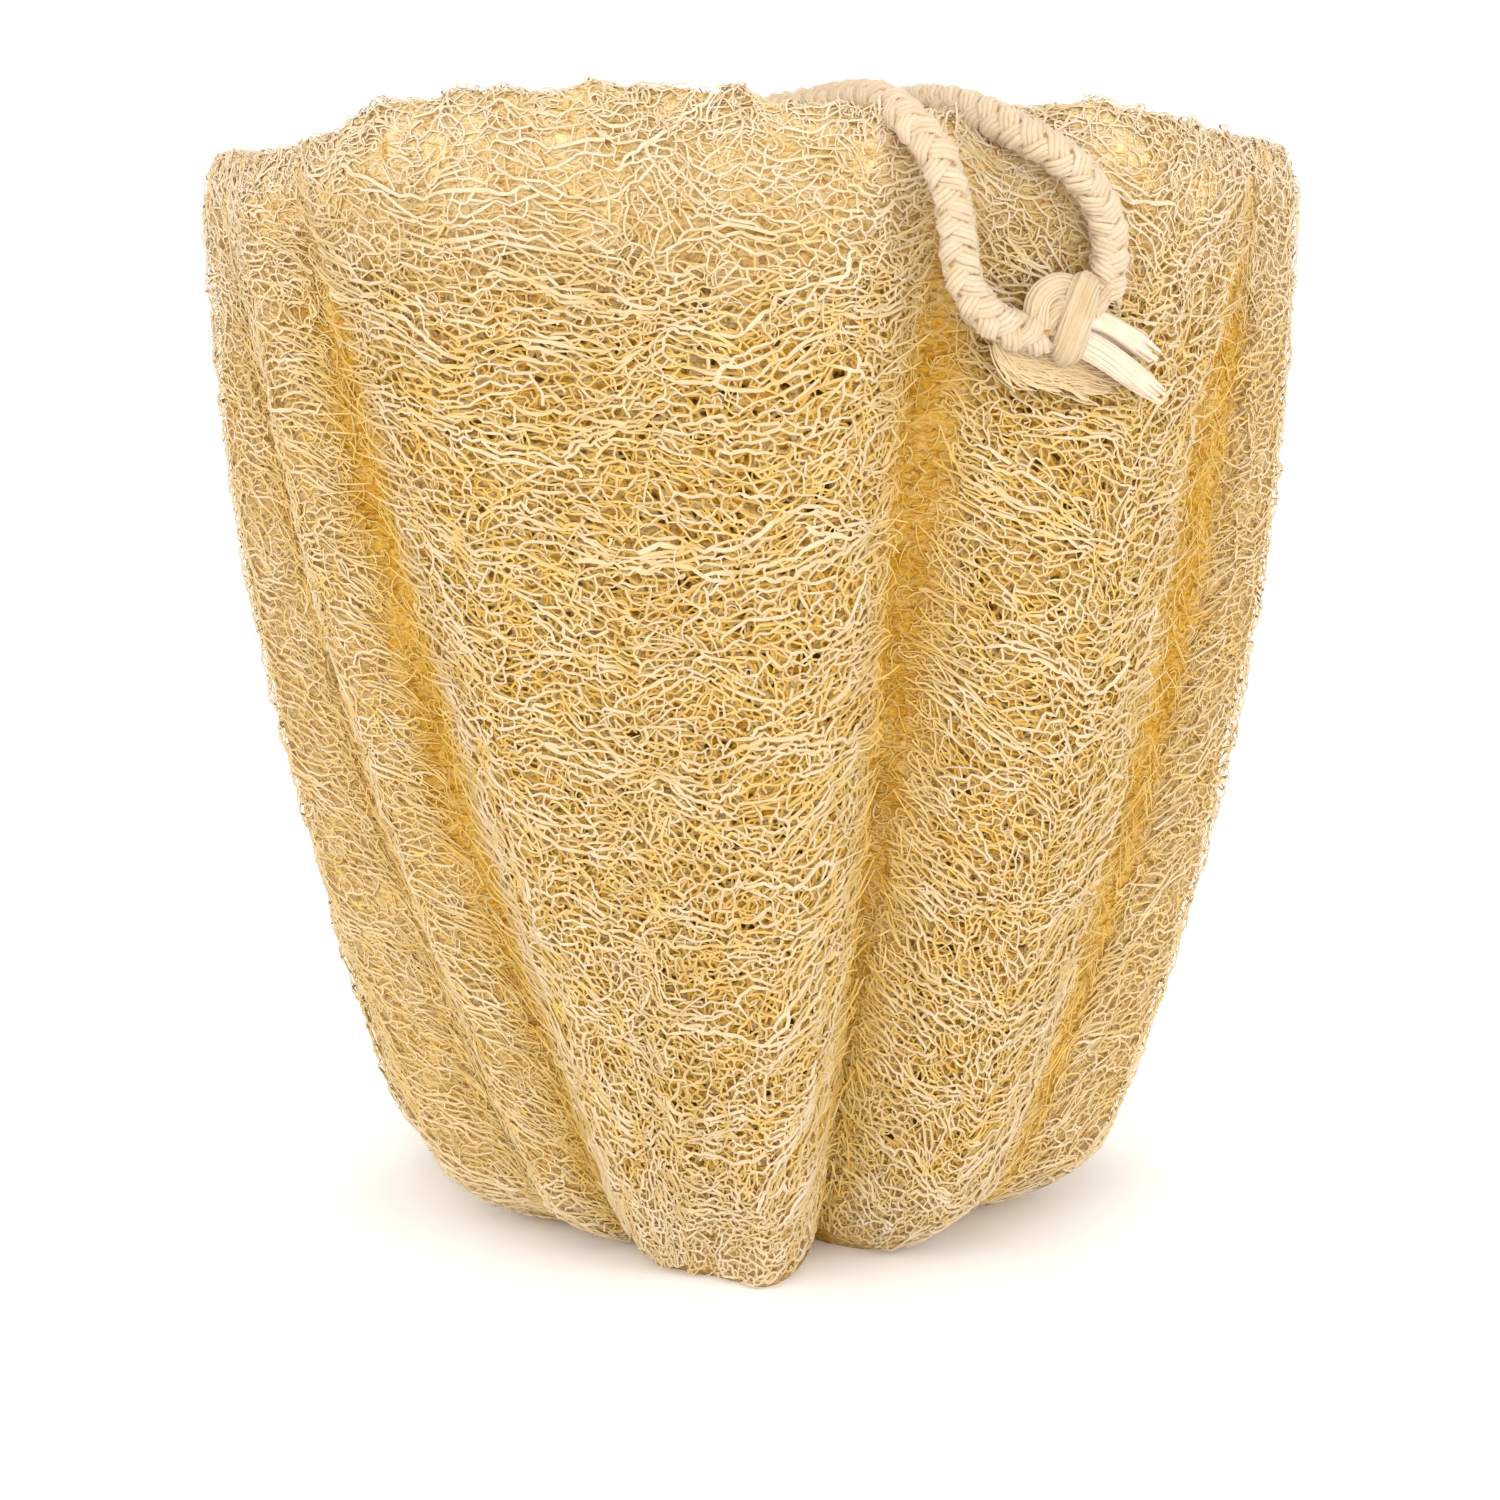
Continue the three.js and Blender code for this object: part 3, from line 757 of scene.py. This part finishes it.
def felt_material():
    """Loofah felt: the fine fibres deep between the strands, a soft warm mat with a faint net of its own,
    and dark spots of painted shade for holes between fibres.
    """
    material, tree, shader = new_material("loofah_felt", 0.8, 0)
    place = add(tree, "ShaderNodeTexCoord").outputs["Object"]
    bare, felted_and_lit = attribute(tree, "bare"), attribute(tree, "felted_and_lit")
    stray = noise(tree, place, 2.5, 2, "Color")
    shift = add(tree, "ShaderNodeVectorMath", {"operation": "MULTIPLY_ADD"}, _0=stray,
                _1=(1.6 * MM, 1.6 * MM, 1.6 * MM), _2=place).outputs[0]
    squat, level = (
        add(tree, "ShaderNodeVectorMath", {"operation": "MULTIPLY"}, _0=shift, _1=(1, 1, squash)).outputs[0]
        for squash in (1.5, 3)
    )
    cells = add(tree, "ShaderNodeTexVoronoi", {"feature": "DISTANCE_TO_EDGE"}, Vector=squat,
                Scale=1 / (2.3 * MM))
    on_line = add(tree, "ShaderNodeMapRange", {"interpolation_type": "SMOOTHSTEP"}, To_Min=1, To_Max=0,
                  Value=cells.outputs["Distance"], From_Min=0.06, From_Max=0.16).outputs[0]
    mottle = noise(tree, place, 7, 4)
    # Painted shade: dark spots in the gap colour stand for holes between the fibres
    gap = ramp(tree, noise(tree, place, 2, 2), FELT_GAP_PAINTED_SHADE)
    # Pale felt where gaps are filled: matting, and at the rim and feet partly painted light
    floor = blend(tree, felted_and_lit, gap, ramp(tree, mottle, MATTED_AND_LIT_FELT))
    furrow = blend(tree, bare, floor, ramp(tree, mottle, FURROW_MAT))
    line = maths(tree, "MULTIPLY", on_line, maths(tree, "MULTIPLY_ADD", bare, -0.75, 1))
    colour = blend(tree, line, furrow, ramp(tree, mottle, FELT_FIBRE))
    streak = noise(tree, level, 1.5, 4, Roughness=0.65)
    streaked = blend(tree, 1, colour, ramp(tree, streak, STREAKS), "MULTIPLY")
    tree.links.new(streaked, shader.inputs["Base Color"])
    raised = maths(tree, "MULTIPLY_ADD", streak, 2, on_line)
    bump = add(tree, "ShaderNodeBump", Strength=0.7, Distance=0.5 * MM, Height=raised)
    tree.links.new(bump.outputs[0], shader.inputs["Normal"])
    return material


def cotton_material():
    """Undyed cotton: matt, creamy white yarn, a little darker between the strands, which is painted shade.
    """
    material, tree, shader = new_material("undyed_cotton", 0.9, 0.15)
    place = add(tree, "ShaderNodeTexCoord").outputs["Object"]
    cream = ramp(tree, mottled_tone(tree, place, 2.5), CREAM)
    colour = blend(tree, attribute(tree, "warmth"), cream, to_linear(YELLOW_CREAM))
    tree.links.new(colour, shader.inputs["Base Color"])
    bump = add(tree, "ShaderNodeBump", Strength=0.5, Distance=0.15 * MM, Height=noise(tree, place, 0.35, 2))
    tree.links.new(bump.outputs[0], shader.inputs["Normal"])
    shader.inputs["Sheen Weight"].default_value = 0.2
    return material


def board_material():
    """Matt painted board: an even white ground."""
    material, _, shader = new_material("pale_board", 0.9, 0.5)
    shader.inputs["Base Color"].default_value = to_linear("FFFFFF")
    return material


# Felt that fills the sponge under its nets
FELT_COLUMNS = 22 * RIBS
FELT_RISES = np.concatenate([np.linspace(0, HEIGHT, 56), HEIGHT + np.array([3, 7, 12])])
FELT_SINK = 3.4
FELT_SINK_WORN = 0.5
FELT_SINK_BARE = 0.7
CHANNEL_BARE = 0.5
CHANNEL_WORN = 0.3
CAP_WORN = 0.7
CAP_REACH = 80
CAP_STEP = 4
CHANNEL_SIDES = 28
CHANNEL_RINGS = 20


def channel_middles():
    bearings = np.radians(CHANNEL_BEARINGS)
    return np.stack([CHANNEL_OFFSET * np.sin(bearings), -CHANNEL_OFFSET * np.cos(bearings)], -1)


def band_faces(first, columns, rings, outward):
    """Quads of a closed band of rings whose vertices follow one another."""
    ring, column = (a.ravel() for a in np.meshgrid(np.arange(rings - 1), np.arange(columns), indexing="ij"))
    after = (column + 1) % columns
    low, high = first + ring * columns, first + (ring + 1) * columns
    quads = np.stack([low + column, low + after, high + after, high + column], -1)
    return quads if outward else quads[:, ::-1]


def cap_faces(known, loops, up):
    """Triangles between an outline and its holes, with places of their own spread between them."""
    grid = np.stack(np.meshgrid(*[np.arange(-CAP_REACH, CAP_REACH + 1, CAP_STEP)] * 2), -1).reshape(-1, 2)
    clear = np.linalg.norm(grid, axis=1) < np.linalg.norm(known[loops[0], :2], axis=1).min() / MM - 3
    for middle in channel_middles():
        clear &= np.linalg.norm(grid - middle, axis=1) > CHANNEL_RADIUS + 2
    inner = grid[clear] * MM
    ends = np.cumsum([0] + [len(loop) for loop in loops])
    borders = [list(range(a, b)) for a, b in zip(ends[:-1], ends[1:])]
    flat = np.concatenate([known[np.concatenate(loops), :2], inner])
    cap = delaunay_2d_cdt([Vector(p) for p in flat], [], borders, 2, 1e-9)
    level = known[loops[0], 2].mean()
    bumps = swell(inner, 0.013, 52) * 0.8 * MM if up else 0 * inner[:, 0]
    numbers = np.concatenate([*loops, len(known) + np.arange(len(inner))])
    source = numbers[[origin[0] for origin in cap[3]]]
    triangles = np.array(cap[2])
    p, q, r = (np.array(cap[0])[triangles[:, i]] for i in range(3))
    left = (q - p)[:, 0] * (r - p)[:, 1] - (q - p)[:, 1] * (r - p)[:, 0] > 0
    triangles[left != up] = triangles[left != up][:, ::-1]
    return np.column_stack([inner, level + bumps]), source[triangles]


def felt_piece(material):
    """The closed body under the nets, with the seed channels through it."""
    along, rise = (a.ravel() for a in np.meshgrid(np.arange(FELT_COLUMNS) * RIBS / FELT_COLUMNS, FELT_RISES))
    gap, furrow = from_furrow(along)
    below_rim = smoothstep(HEIGHT, WORN_AND_LIT_RIM_START, rise)
    bare = smoothstep(FLOOR_WIDTH, FLOOR_INNER, gap) * FURROW_MATTED[furrow] * below_rim
    bare = bare * mix(0.85, 1, smoothstep(20, 100, rise))
    # The felt is raised and pale where the gaps are filled: matting, and at the rim and feet partly painted
    # light
    felted_and_lit = felted(along, rise)
    sink = mix(mix(FELT_SINK, FELT_SINK_WORN, felted_and_lit), FELT_SINK_BARE, bare)
    wall = outside(along, rise, sink)
    wall[:, :2] *= 1 + 0.004 * swell(wall, 0.013, 50)[:, None]
    wall[:FELT_COLUMNS, 2] = 0
    rows = len(FELT_RISES)
    faces = [band_faces(0, FELT_COLUMNS, rows, True)]
    loops = {True: [np.arange(FELT_COLUMNS) + (rows - 1) * FELT_COLUMNS], False: [np.arange(FELT_COLUMNS)]}
    level = wall[loops[True][0], 2].mean()
    ring = np.repeat(np.arange(CHANNEL_RINGS), CHANNEL_SIDES)
    angle = np.tile(np.arange(CHANNEL_SIDES) * math.tau / CHANNEL_SIDES, CHANNEL_RINGS)
    places, shares, pales = [wall], [bare], [felted_and_lit]
    for middle in channel_middles():
        first = sum(len(p) for p in places)
        tube = np.column_stack([np.cos(angle), np.sin(angle), level * ring / (CHANNEL_RINGS - 1)])
        rough = 1 + 0.05 * swell(tube * (1, 1, 80), 1.0, 51) * ((ring > 0) & (ring < CHANNEL_RINGS - 1))
        tube[:, :2] = (middle + CHANNEL_RADIUS * tube[:, :2] * rough[:, None]) * MM
        faces.append(band_faces(first, CHANNEL_SIDES, CHANNEL_RINGS, False))
        loops[False].append(first + np.arange(CHANNEL_SIDES))
        loops[True].append(first + (CHANNEL_RINGS - 1) * CHANNEL_SIDES + np.arange(CHANNEL_SIDES))
        places.append(tube)
        shares.append(np.full(len(tube), CHANNEL_BARE))
        pales.append(np.full(len(tube), CHANNEL_WORN))
    for up in (True, False):
        inner, triangles = cap_faces(np.concatenate(places), loops[up], up)
        faces.append(triangles)
        places.append(inner)
        shares.append(np.zeros(len(inner)))
        pales.append(np.full(len(inner), CAP_WORN))
    mesh = bpy.data.meshes.new("loofah_felt")
    mesh.from_pydata(np.concatenate(places), [], [tuple(f) for group in faces for f in group.tolist()])
    for key, values in (("bare", shares), ("felted_and_lit", pales)):
        values = np.concatenate(values).astype(np.float32)
        mesh.attributes.new(key, "FLOAT", "POINT").data.foreach_set("value", values)
    mesh.shade_smooth()
    mesh.materials.append(material)
    return plain_object("loofah_felt", mesh)


# Cord, along the solid one's route but settled into the soft cut end
CORD_SETTLED = 1.4
CORD_OUT = [
    (38.2, -80.8, 139), (34, -82.4, 139.2), (29.6, -84, 141.6), (27, -84.9, 146.6), (26.6, -85.2, 152),
    (25.4, -85.8, 157.6), (23, -86.2, 163.2), (19.6, -82.4, 168.8), (15.2, -74, 171.6), (9.6, -64, 171.6),
    (3.6, -53, 171.8), (-3, -42, 171.6), (-8.6, -32.5, 168), (-12.2, -25.2, 160), (-13.8, -21.8, 149),
    (-13.9, -21.5, 138),
]
CORD_BACK = [
    (13.9, -21.5, 138), (13.8, -21.8, 149), (13.8, -25.2, 160), (14, -32.5, 168), (14.4, -42, 171.6),
    (16.4, -51.6, 171.8), (20.6, -60.6, 171.8), (26, -69.2, 171.6), (32, -77, 168.4), (38.4, -80.8, 163.6),
    (43.4, -79.4, 159.2), (46.8, -77.2, 155), (47.8, -76, 149.6), (46.8, -76.4, 144.6),
]
CORD_TURN_MIDDLE = (0, -21.5, 128)
CORD_TURN_RADIUS = 13.8
CORD_TURN_POINTS = 5
YARN_STEP = 0.7
BRAID_PITCH = 6.8
BRAID_RADIUS = 1.55
BRAID_WEAVE = 0.5
STRAND_YARNS = 4
YARN_SPACING = 0.64
YARN_THICKNESS = 1.05
HEART_THICKNESS = 2.1
CORE_THICKNESS = 3.7
YARN_TONE = 0.57
# Painted shade: the hearts under the yarns are darker in tone than the yarns
HEART_SHADE_TONE = 0.3
HEART_SINK = 0.4
YARN_CROWN = 0.42
YARN_STRAY = 0.09
YARN_SIDES = 4
CORE_SIDES = 12
# Painted shade: the core inside the braid is darker still
CORE_SHADE_TONE = 0.2
BRAID_TURN_START = math.radians(60)
BRAID_TURN_END = math.radians(35)


def cord_route():
    """Points along the cord's middle line, in even steps: a cubic B-spline from the knot and back to it."""
    angles = (np.arange(CORD_TURN_POINTS) + 0.5) * np.pi / CORD_TURN_POINTS
    turn = np.stack([-np.cos(angles), 0 * angles, -np.sin(angles)], -1) * CORD_TURN_RADIUS + CORD_TURN_MIDDLE
    control = np.concatenate([CORD_OUT, turn, CORD_BACK])
    count = len(control)
    knots = np.concatenate([[0, 0, 0], np.linspace(0, 1, count - 2), [1, 1, 1]])
    share = np.linspace(0, 1, 4001)
    span = np.minimum((share * (count - 3)).astype(int), count - 4) + 3
    d = [control[span - 3 + j] for j in range(4)]
    for r in range(1, 4):
        for j in range(3, r - 1, -1):
            i = span - 3 + j
            part = ((share - knots[i]) / (knots[i + 4 - r] - knots[i]))[:, None]
            d[j] = mix(d[j - 1], d[j], part)
    d[3][:, 2] -= CORD_SETTLED * smoothstep(160, 168, d[3][:, 2])
    return evenly(d[3], YARN_STEP)


def evenly(line, step):
    """A line with its points set even steps apart."""
    run = np.concatenate([[0], np.cumsum(np.linalg.norm(np.diff(line, axis=0), axis=1))])
    stops = np.linspace(0, run[-1], int(run[-1] / step) + 1)
    return np.stack([np.interp(stops, run, line[:, i]) for i in range(3)], -1)


def through(points, step):
    """An even line on the Catmull-Rom curve through a few points."""
    points = np.array(points, float)
    line = [points[:1]]
    ends = np.concatenate([2 * points[:1] - points[1:2], points, 2 * points[-1:] - points[-2:-1]])
    t = np.linspace(0, 1, 21)[1:, None]
    for p, q, r, u in zip(ends, ends[1:], ends[2:], ends[3:]):
        curve = 2 * q + (r - p) * t + (2 * p - 5 * q + 4 * r - u) * t**2
        line.append(0.5 * (curve + (3 * q - p - 3 * r + u) * t**3))
    return evenly(np.concatenate(line), step)


def untwisted_sides(line):
    """Two sideways directions at each point, carried along the line without twist."""
    ahead = unit(np.gradient(line, axis=0))
    side = np.cross(ahead[0], (0.3, 0.2, 1))
    sides = []
    for way in ahead:
        side = side - way * (side @ way)
        side = side / np.linalg.norm(side)
        sides.append(side)
    sides = np.array(sides)
    return sides, np.cross(ahead, sides)


def braid_yarns(line):
    """A round braid: two strands wind each way, over and under, each a few yarns on a thick heart."""
    first, second = untwisted_sides(line)
    run = np.arange(len(line)) * np.linalg.norm(line[1] - line[0])
    turn = mix(BRAID_TURN_START, BRAID_TURN_END, run / run[-1])
    weave = BRAID_WEAVE * np.cos(np.pi * (4 * run / BRAID_PITCH - 0.5))
    hearts, yarns = [], []
    for number, (way, start) in enumerate(((1, 0), (1, np.pi), (-1, np.pi / 2), (-1, 1.5 * np.pi))):
        slack = swell(run[:, None], 14, 70 + number)
        angle = way * math.tau * run / BRAID_PITCH + start + turn + 0.12 * slack
        away = first * np.cos(angle)[:, None] + second * np.sin(angle)[:, None]
        strand = line + away * (BRAID_RADIUS + way * weave)[:, None]
        across = unit(np.cross(np.gradient(strand, axis=0), away))
        hearts.append(strand - away * HEART_SINK)
        for j in range(STRAND_YARNS):
            off = (j - (STRAND_YARNS - 1) / 2) * YARN_SPACING
            crown = YARN_CROWN * (1 - (2 * off / (STRAND_YARNS * YARN_SPACING)) ** 2)
            stray = YARN_STRAY * swell(run[:, None], 5, 80 + 10 * number + j)[:, None]
            yarns.append(strand + across * (off + stray) + away * (crown + stray))
    return hearts, yarns


def bundle_yarns(line, radius, count, twist, ends, draws):
    """Yarns laid round a line, drawn together at its far end by the share that ends gives."""
    first, second = untwisted_sides(line)
    share = np.linspace(0, 1, len(line))
    yarns = []
    for k in range(count):
        stray = draws.normal(0, 1, 3)
        angle = math.tau * (k + 0.3 * stray[0]) / count + twist * share + 0.12 * stray[1] * np.sin(5 * share)
        spread = (radius + 0.07 * stray[2]) * mix(1, ends, share**3)
        away = first * np.cos(angle)[:, None] + second * np.sin(angle)[:, None]
        yarns.append(line + away * spread[:, None])
    return yarns


def yarn_strands(yarns, thickness, tone, draws, tip=1):
    """Yarns as strands with a tone of their own, thinned to the share that tip gives at their far ends."""
    sizes = np.array([len(y) for y in yarns])
    share = np.concatenate([np.linspace(0, 1, n) for n in sizes])
    thick = thickness * mix(1, tip, smoothstep(0.7, 1, share))
    tones = np.repeat(draws.normal(tone, 0.04, len(yarns)), sizes)
    away = np.concatenate([untwisted_sides(y)[0] for y in yarns])
    return np.concatenate(yarns) * MM, sizes, [thick, tones, 0 * tones, *away.T]


def joined(*groups):
    places, sizes, values = zip(*groups)
    return np.concatenate(places), np.concatenate(sizes), [np.concatenate(v) for v in zip(*values)]


# Knot: the solid one's turns, slimmer and closer, with one more that fills their middle
KNOT = np.array((41.6, -79.2, 141.2))
KNOT_TURNS = [
    (2.0, [(-4, -2.1, -1.6), (-3.9, -2, 2.1), (-1.5, -0.9, 3.8), (1.5, 0.5, 2.7), (2.6, 1.2, 0)]),
    (2.2, [(2.4, 1.2, 4), (1.7, -1.4, 3.5), (0.8, -2.5, 0), (0, -1.9, -3.4), (-0.2, 0.5, -4.1)]),
    (2.2, [(-3, -1.2, -2.4), (-1.5, -0.2, -2.2), (1, 1.2, -1), (3.2, 1.7, 2), (4.4, 2.2, 4)]),
    (1.9, [(-3.2, -1.2, -1.7), (-2.4, -1.6, 0.5), (-0.5, -0.9, 1.9)]),
]
KNOT_STEP = 0.6
KNOT_YARNS = 17
KNOT_YARN_THICKNESS = 0.58
# Tails: their cores are a little darker in tone than their yarns, which is painted shade under the yarns
KNOT_TAILS = [
    dict(
        points=[(1.2, 0.4, 0.2), (4.6, 1.8, -0.6), (9, 4.4, -2.6), (13.2, 7.2, -5)],
        core=2.5, core_shade_tone=0.8, core_cut=3, radius=1.15, count=7, twist=0.7, ends=0.9,
        ragged=4, heart_cut=0, yarn=1.2, yarn_tone=0.86, tip=0.5,
    ),
    dict(
        points=[(0.4, 0, -2.4), (4.2, 1.2, -4.2), (9, 4, -7), (14, 7, -10.2)],
        core=3.5, core_shade_tone=0.84, core_cut=2, radius=1.6, count=16, twist=0.5, ends=0.6,
        ragged=6, heart_cut=2, yarn=0.8, yarn_tone=0.87, tip=0.6,
    ),
]

# Fray: the middle line of the pad seen from the front, and how many soft yarns and fine hairs it has
FRAY_YARNS = 260
FRAY_HAIRS = 320
FRAY_STEPS = 8
FRAY = [(32, 0, 140), (33.2, 0, 137.2), (37, 0, 135.4), (44, 0, 134.6), (52, 0, 133.4)]


def knot_strands(seed):
    """The turns and tails of the knot as smooth cores, and the yarns that lie on them."""
    draws = np.random.default_rng(seed)
    cores, yarns = [], []
    for radius, turn in KNOT_TURNS:
        line = through(turn, KNOT_STEP) + KNOT
        cores.append(yarn_strands([line], 2 * radius - 0.3, 0.5, draws))
        bundle = bundle_yarns(line, radius - 0.25, KNOT_YARNS, 1.3, 1, draws)
        yarns.append(yarn_strands(bundle, KNOT_YARN_THICKNESS, 0.52, draws))
    for tail in KNOT_TAILS:
        line = through(tail["points"], KNOT_STEP) + KNOT
        core = line[: len(line) - tail["core_cut"]]
        cores.append(yarn_strands([core], tail["core"], tail["core_shade_tone"], draws, 0.5))
        bundle = bundle_yarns(line, tail["radius"], tail["count"], tail["twist"], tail["ends"], draws)
        bundle = [y[: len(y) - draws.integers(0, tail["ragged"])] for y in bundle]
        heart = line[: len(line) - tail["heart_cut"]]
        yarns.append(yarn_strands(bundle + [heart], tail["yarn"], tail["yarn_tone"], draws, tail["tip"]))
    return joined(*cores), joined(*yarns)


def fray_strands(seed):
    """Cotton come loose with wear under the knot: a pad of soft yarns and fine hairs, lying on the sponge.
    """
    draws = np.random.default_rng(seed)
    thickness = [draws.uniform(0.35, 0.8, FRAY_YARNS), draws.uniform(0.14, 0.24, FRAY_HAIRS)]
    thickness = np.concatenate(thickness)[:, None]
    count = len(thickness)
    share = np.linspace(0, 1, FRAY_STEPS)[None, :]
    start = draws.uniform(0, 0.62, (count, 1))
    run = start + share * draws.uniform(0.26, 0.38, (count, 1))
    middle = through(FRAY, 0.5)
    stops = np.linspace(0, 1, len(middle))
    wave = np.sin(share * draws.uniform(2, 6, (count, 1)) + draws.uniform(0, math.tau, (count, 1)))
    off = draws.normal(0, 0.7, (count, 1)) + draws.normal(0, 0.7, (count, 1)) * share + 0.25 * wave
    off = off * mix(1, 1.5, np.sin(np.pi * run))
    x = np.interp(run, stops, middle[:, 0]) + 0.5 * off
    z = np.interp(run, stops, middle[:, 2]) + off
    radius = rib_radius(z) + draws.uniform(-0.8, 0.3, (count, 1)) + 0.4 * (thickness < 0.3)
    places = np.stack([x, -np.sqrt(radius**2 - x**2), z], -1).reshape(-1, 3) * MM
    tone = (draws.normal(0.64, 0.04, (count, 1)) + 0 * share).ravel()
    girths = (thickness * mix(0.3, 1, np.sin(np.pi * share) ** 0.5)).ravel()
    return places, np.full(count, FRAY_STEPS), [girths, tone, 0.55 + 0 * tone, *unit(places * (1, 1, 0)).T]


# Stage, light and camera
CAMERA_PLACE = (0, -380, 130)
CAMERA_PITCH = 8.7
FOCAL_PIXELS = 2255
PHOTO_PIXELS = 1500

# Lights: place, size and power, in metres and watts
LIGHT_TARGET = (0, 0, 0.09)
LIGHTS = {
    "key": ((-0.6, -1.1, 1.0), 0.9, 5),
    "low": ((0.1, -1.2, 0.25), 0.5, 4.5),
    "fill": ((1.0, -0.8, 0.6), 1.0, 5.5),
    "side": ((-1.2, -0.4, 0.5), 0.8, 3.5),
    "back": ((0.2, 1.0, 1.2), 0.9, 5),
}


def make_stage():
    """A pale board that bends up behind the sponge, in metres."""
    reach, flat, bend = 3.0, 1.2, 0.8
    profile = [(-reach, 0.0)]
    angles = np.linspace(0, math.pi / 2, 12)
    profile += [(flat + bend * math.sin(a), bend - bend * math.cos(a)) for a in angles]
    profile.append((flat + bend, 4.0))
    vertices = [(x, y, z) for y, z in profile for x in (-4, 4)]
    faces = [(2 * i, 2 * i + 1, 2 * i + 3, 2 * i + 2) for i in range(len(profile) - 1)]
    mesh = bpy.data.meshes.new("floor")
    mesh.from_pydata(vertices, [], faces)
    mesh.shade_smooth()
    mesh.materials.append(board_material())
    plain_object("floor", mesh)


def make_light(name, place, size, power):
    lamp = bpy.data.lights.new(name, "AREA")
    lamp.size = size
    lamp.energy = power
    made = plain_object(name, lamp)
    made.location = place
    made.rotation_euler = (Vector(LIGHT_TARGET) - Vector(place)).to_track_quat("-Z", "Y").to_euler()


def make_camera():
    lens = bpy.data.cameras.new("camera")
    lens.sensor_width = 36
    lens.lens = 36 * FOCAL_PIXELS / PHOTO_PIXELS
    lens.clip_start = 0.01
    made = plain_object("camera", lens)
    made.location = Vector(CAMERA_PLACE) * MM
    made.rotation_euler = (math.radians(90 - CAMERA_PITCH), 0, 0)
    bpy.context.scene.camera = made


def make_world():
    """Even white light from all round."""
    world = bpy.data.worlds.new("studio")
    world.use_nodes = True
    background = world.node_tree.nodes["Background"].inputs
    background["Color"].default_value = (1, 1, 1, 1)
    background["Strength"].default_value = 1.0
    bpy.context.scene.world = world
    bpy.context.scene.view_settings.view_transform = "Standard"


make_camera()
make_stage()
for name, values in LIGHTS.items():
    make_light(name, *values)
make_world()

# The sponge: its deeper nets have coarser sections, apart from the middle one at the front
fibre = fibre_material()
sweep = sweep_tree()
felt = felt_piece(felt_material())
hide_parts("loofah")
pieces = [felt]
for number, (name, spec) in enumerate(NETS.items()):
    for side, part in by_side(net_strands(spec, 100 * number + 10)):
        shown = name == "outer" or (name, side) == ("middle", "front")
        sides = STRAND_SIDES if shown else DEEP_STRAND_SIDES
        pieces.append(swept(f"loofah_{name}_net_{side}", part, sweep, sides, fibre, True))
loose = {
    "top_net": top_strands(TOP_NET, 400),
    "fringe": fringe_strands(30),
    **{name: tuft_strands(*values) for name, values in TUFTS.items()},
    "furrow_mats": mat_strands(MAT_FIBRES, 42),
}
for name, strands in loose.items():
    pieces.append(swept("loofah_" + name, strands, sweep, STRAND_SIDES, fibre, True))

# The cord and its knot
cotton = cotton_material()
route = cord_route()
draws = np.random.default_rng(60)
hearts, yarns = braid_yarns(route)
# The darker hearts and core are painted shade between the yarns
hearts = yarn_strands(hearts, HEART_THICKNESS, HEART_SHADE_TONE, draws)
yarns = yarn_strands(yarns, YARN_THICKNESS, YARN_TONE, draws)
knot_core, knot_yarns = knot_strands(62)
core = joined(yarn_strands([route], CORE_THICKNESS, CORE_SHADE_TONE, draws), knot_core)
cord = swept("cord_braid", joined(hearts, yarns), sweep, YARN_SIDES, cotton)
core = swept("cord_core", core, sweep, CORE_SIDES, cotton)
knot = swept("cord_knot_yarns", knot_yarns, sweep, YARN_SIDES, cotton)
fray = swept("cord_fray", fray_strands(63), sweep, STRAND_SIDES, cotton, True)
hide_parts("cord")
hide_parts("cord_knot")
for piece in (cord, core, knot, fray):
    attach(piece, "root")
for piece in pieces:
    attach(piece, "root")
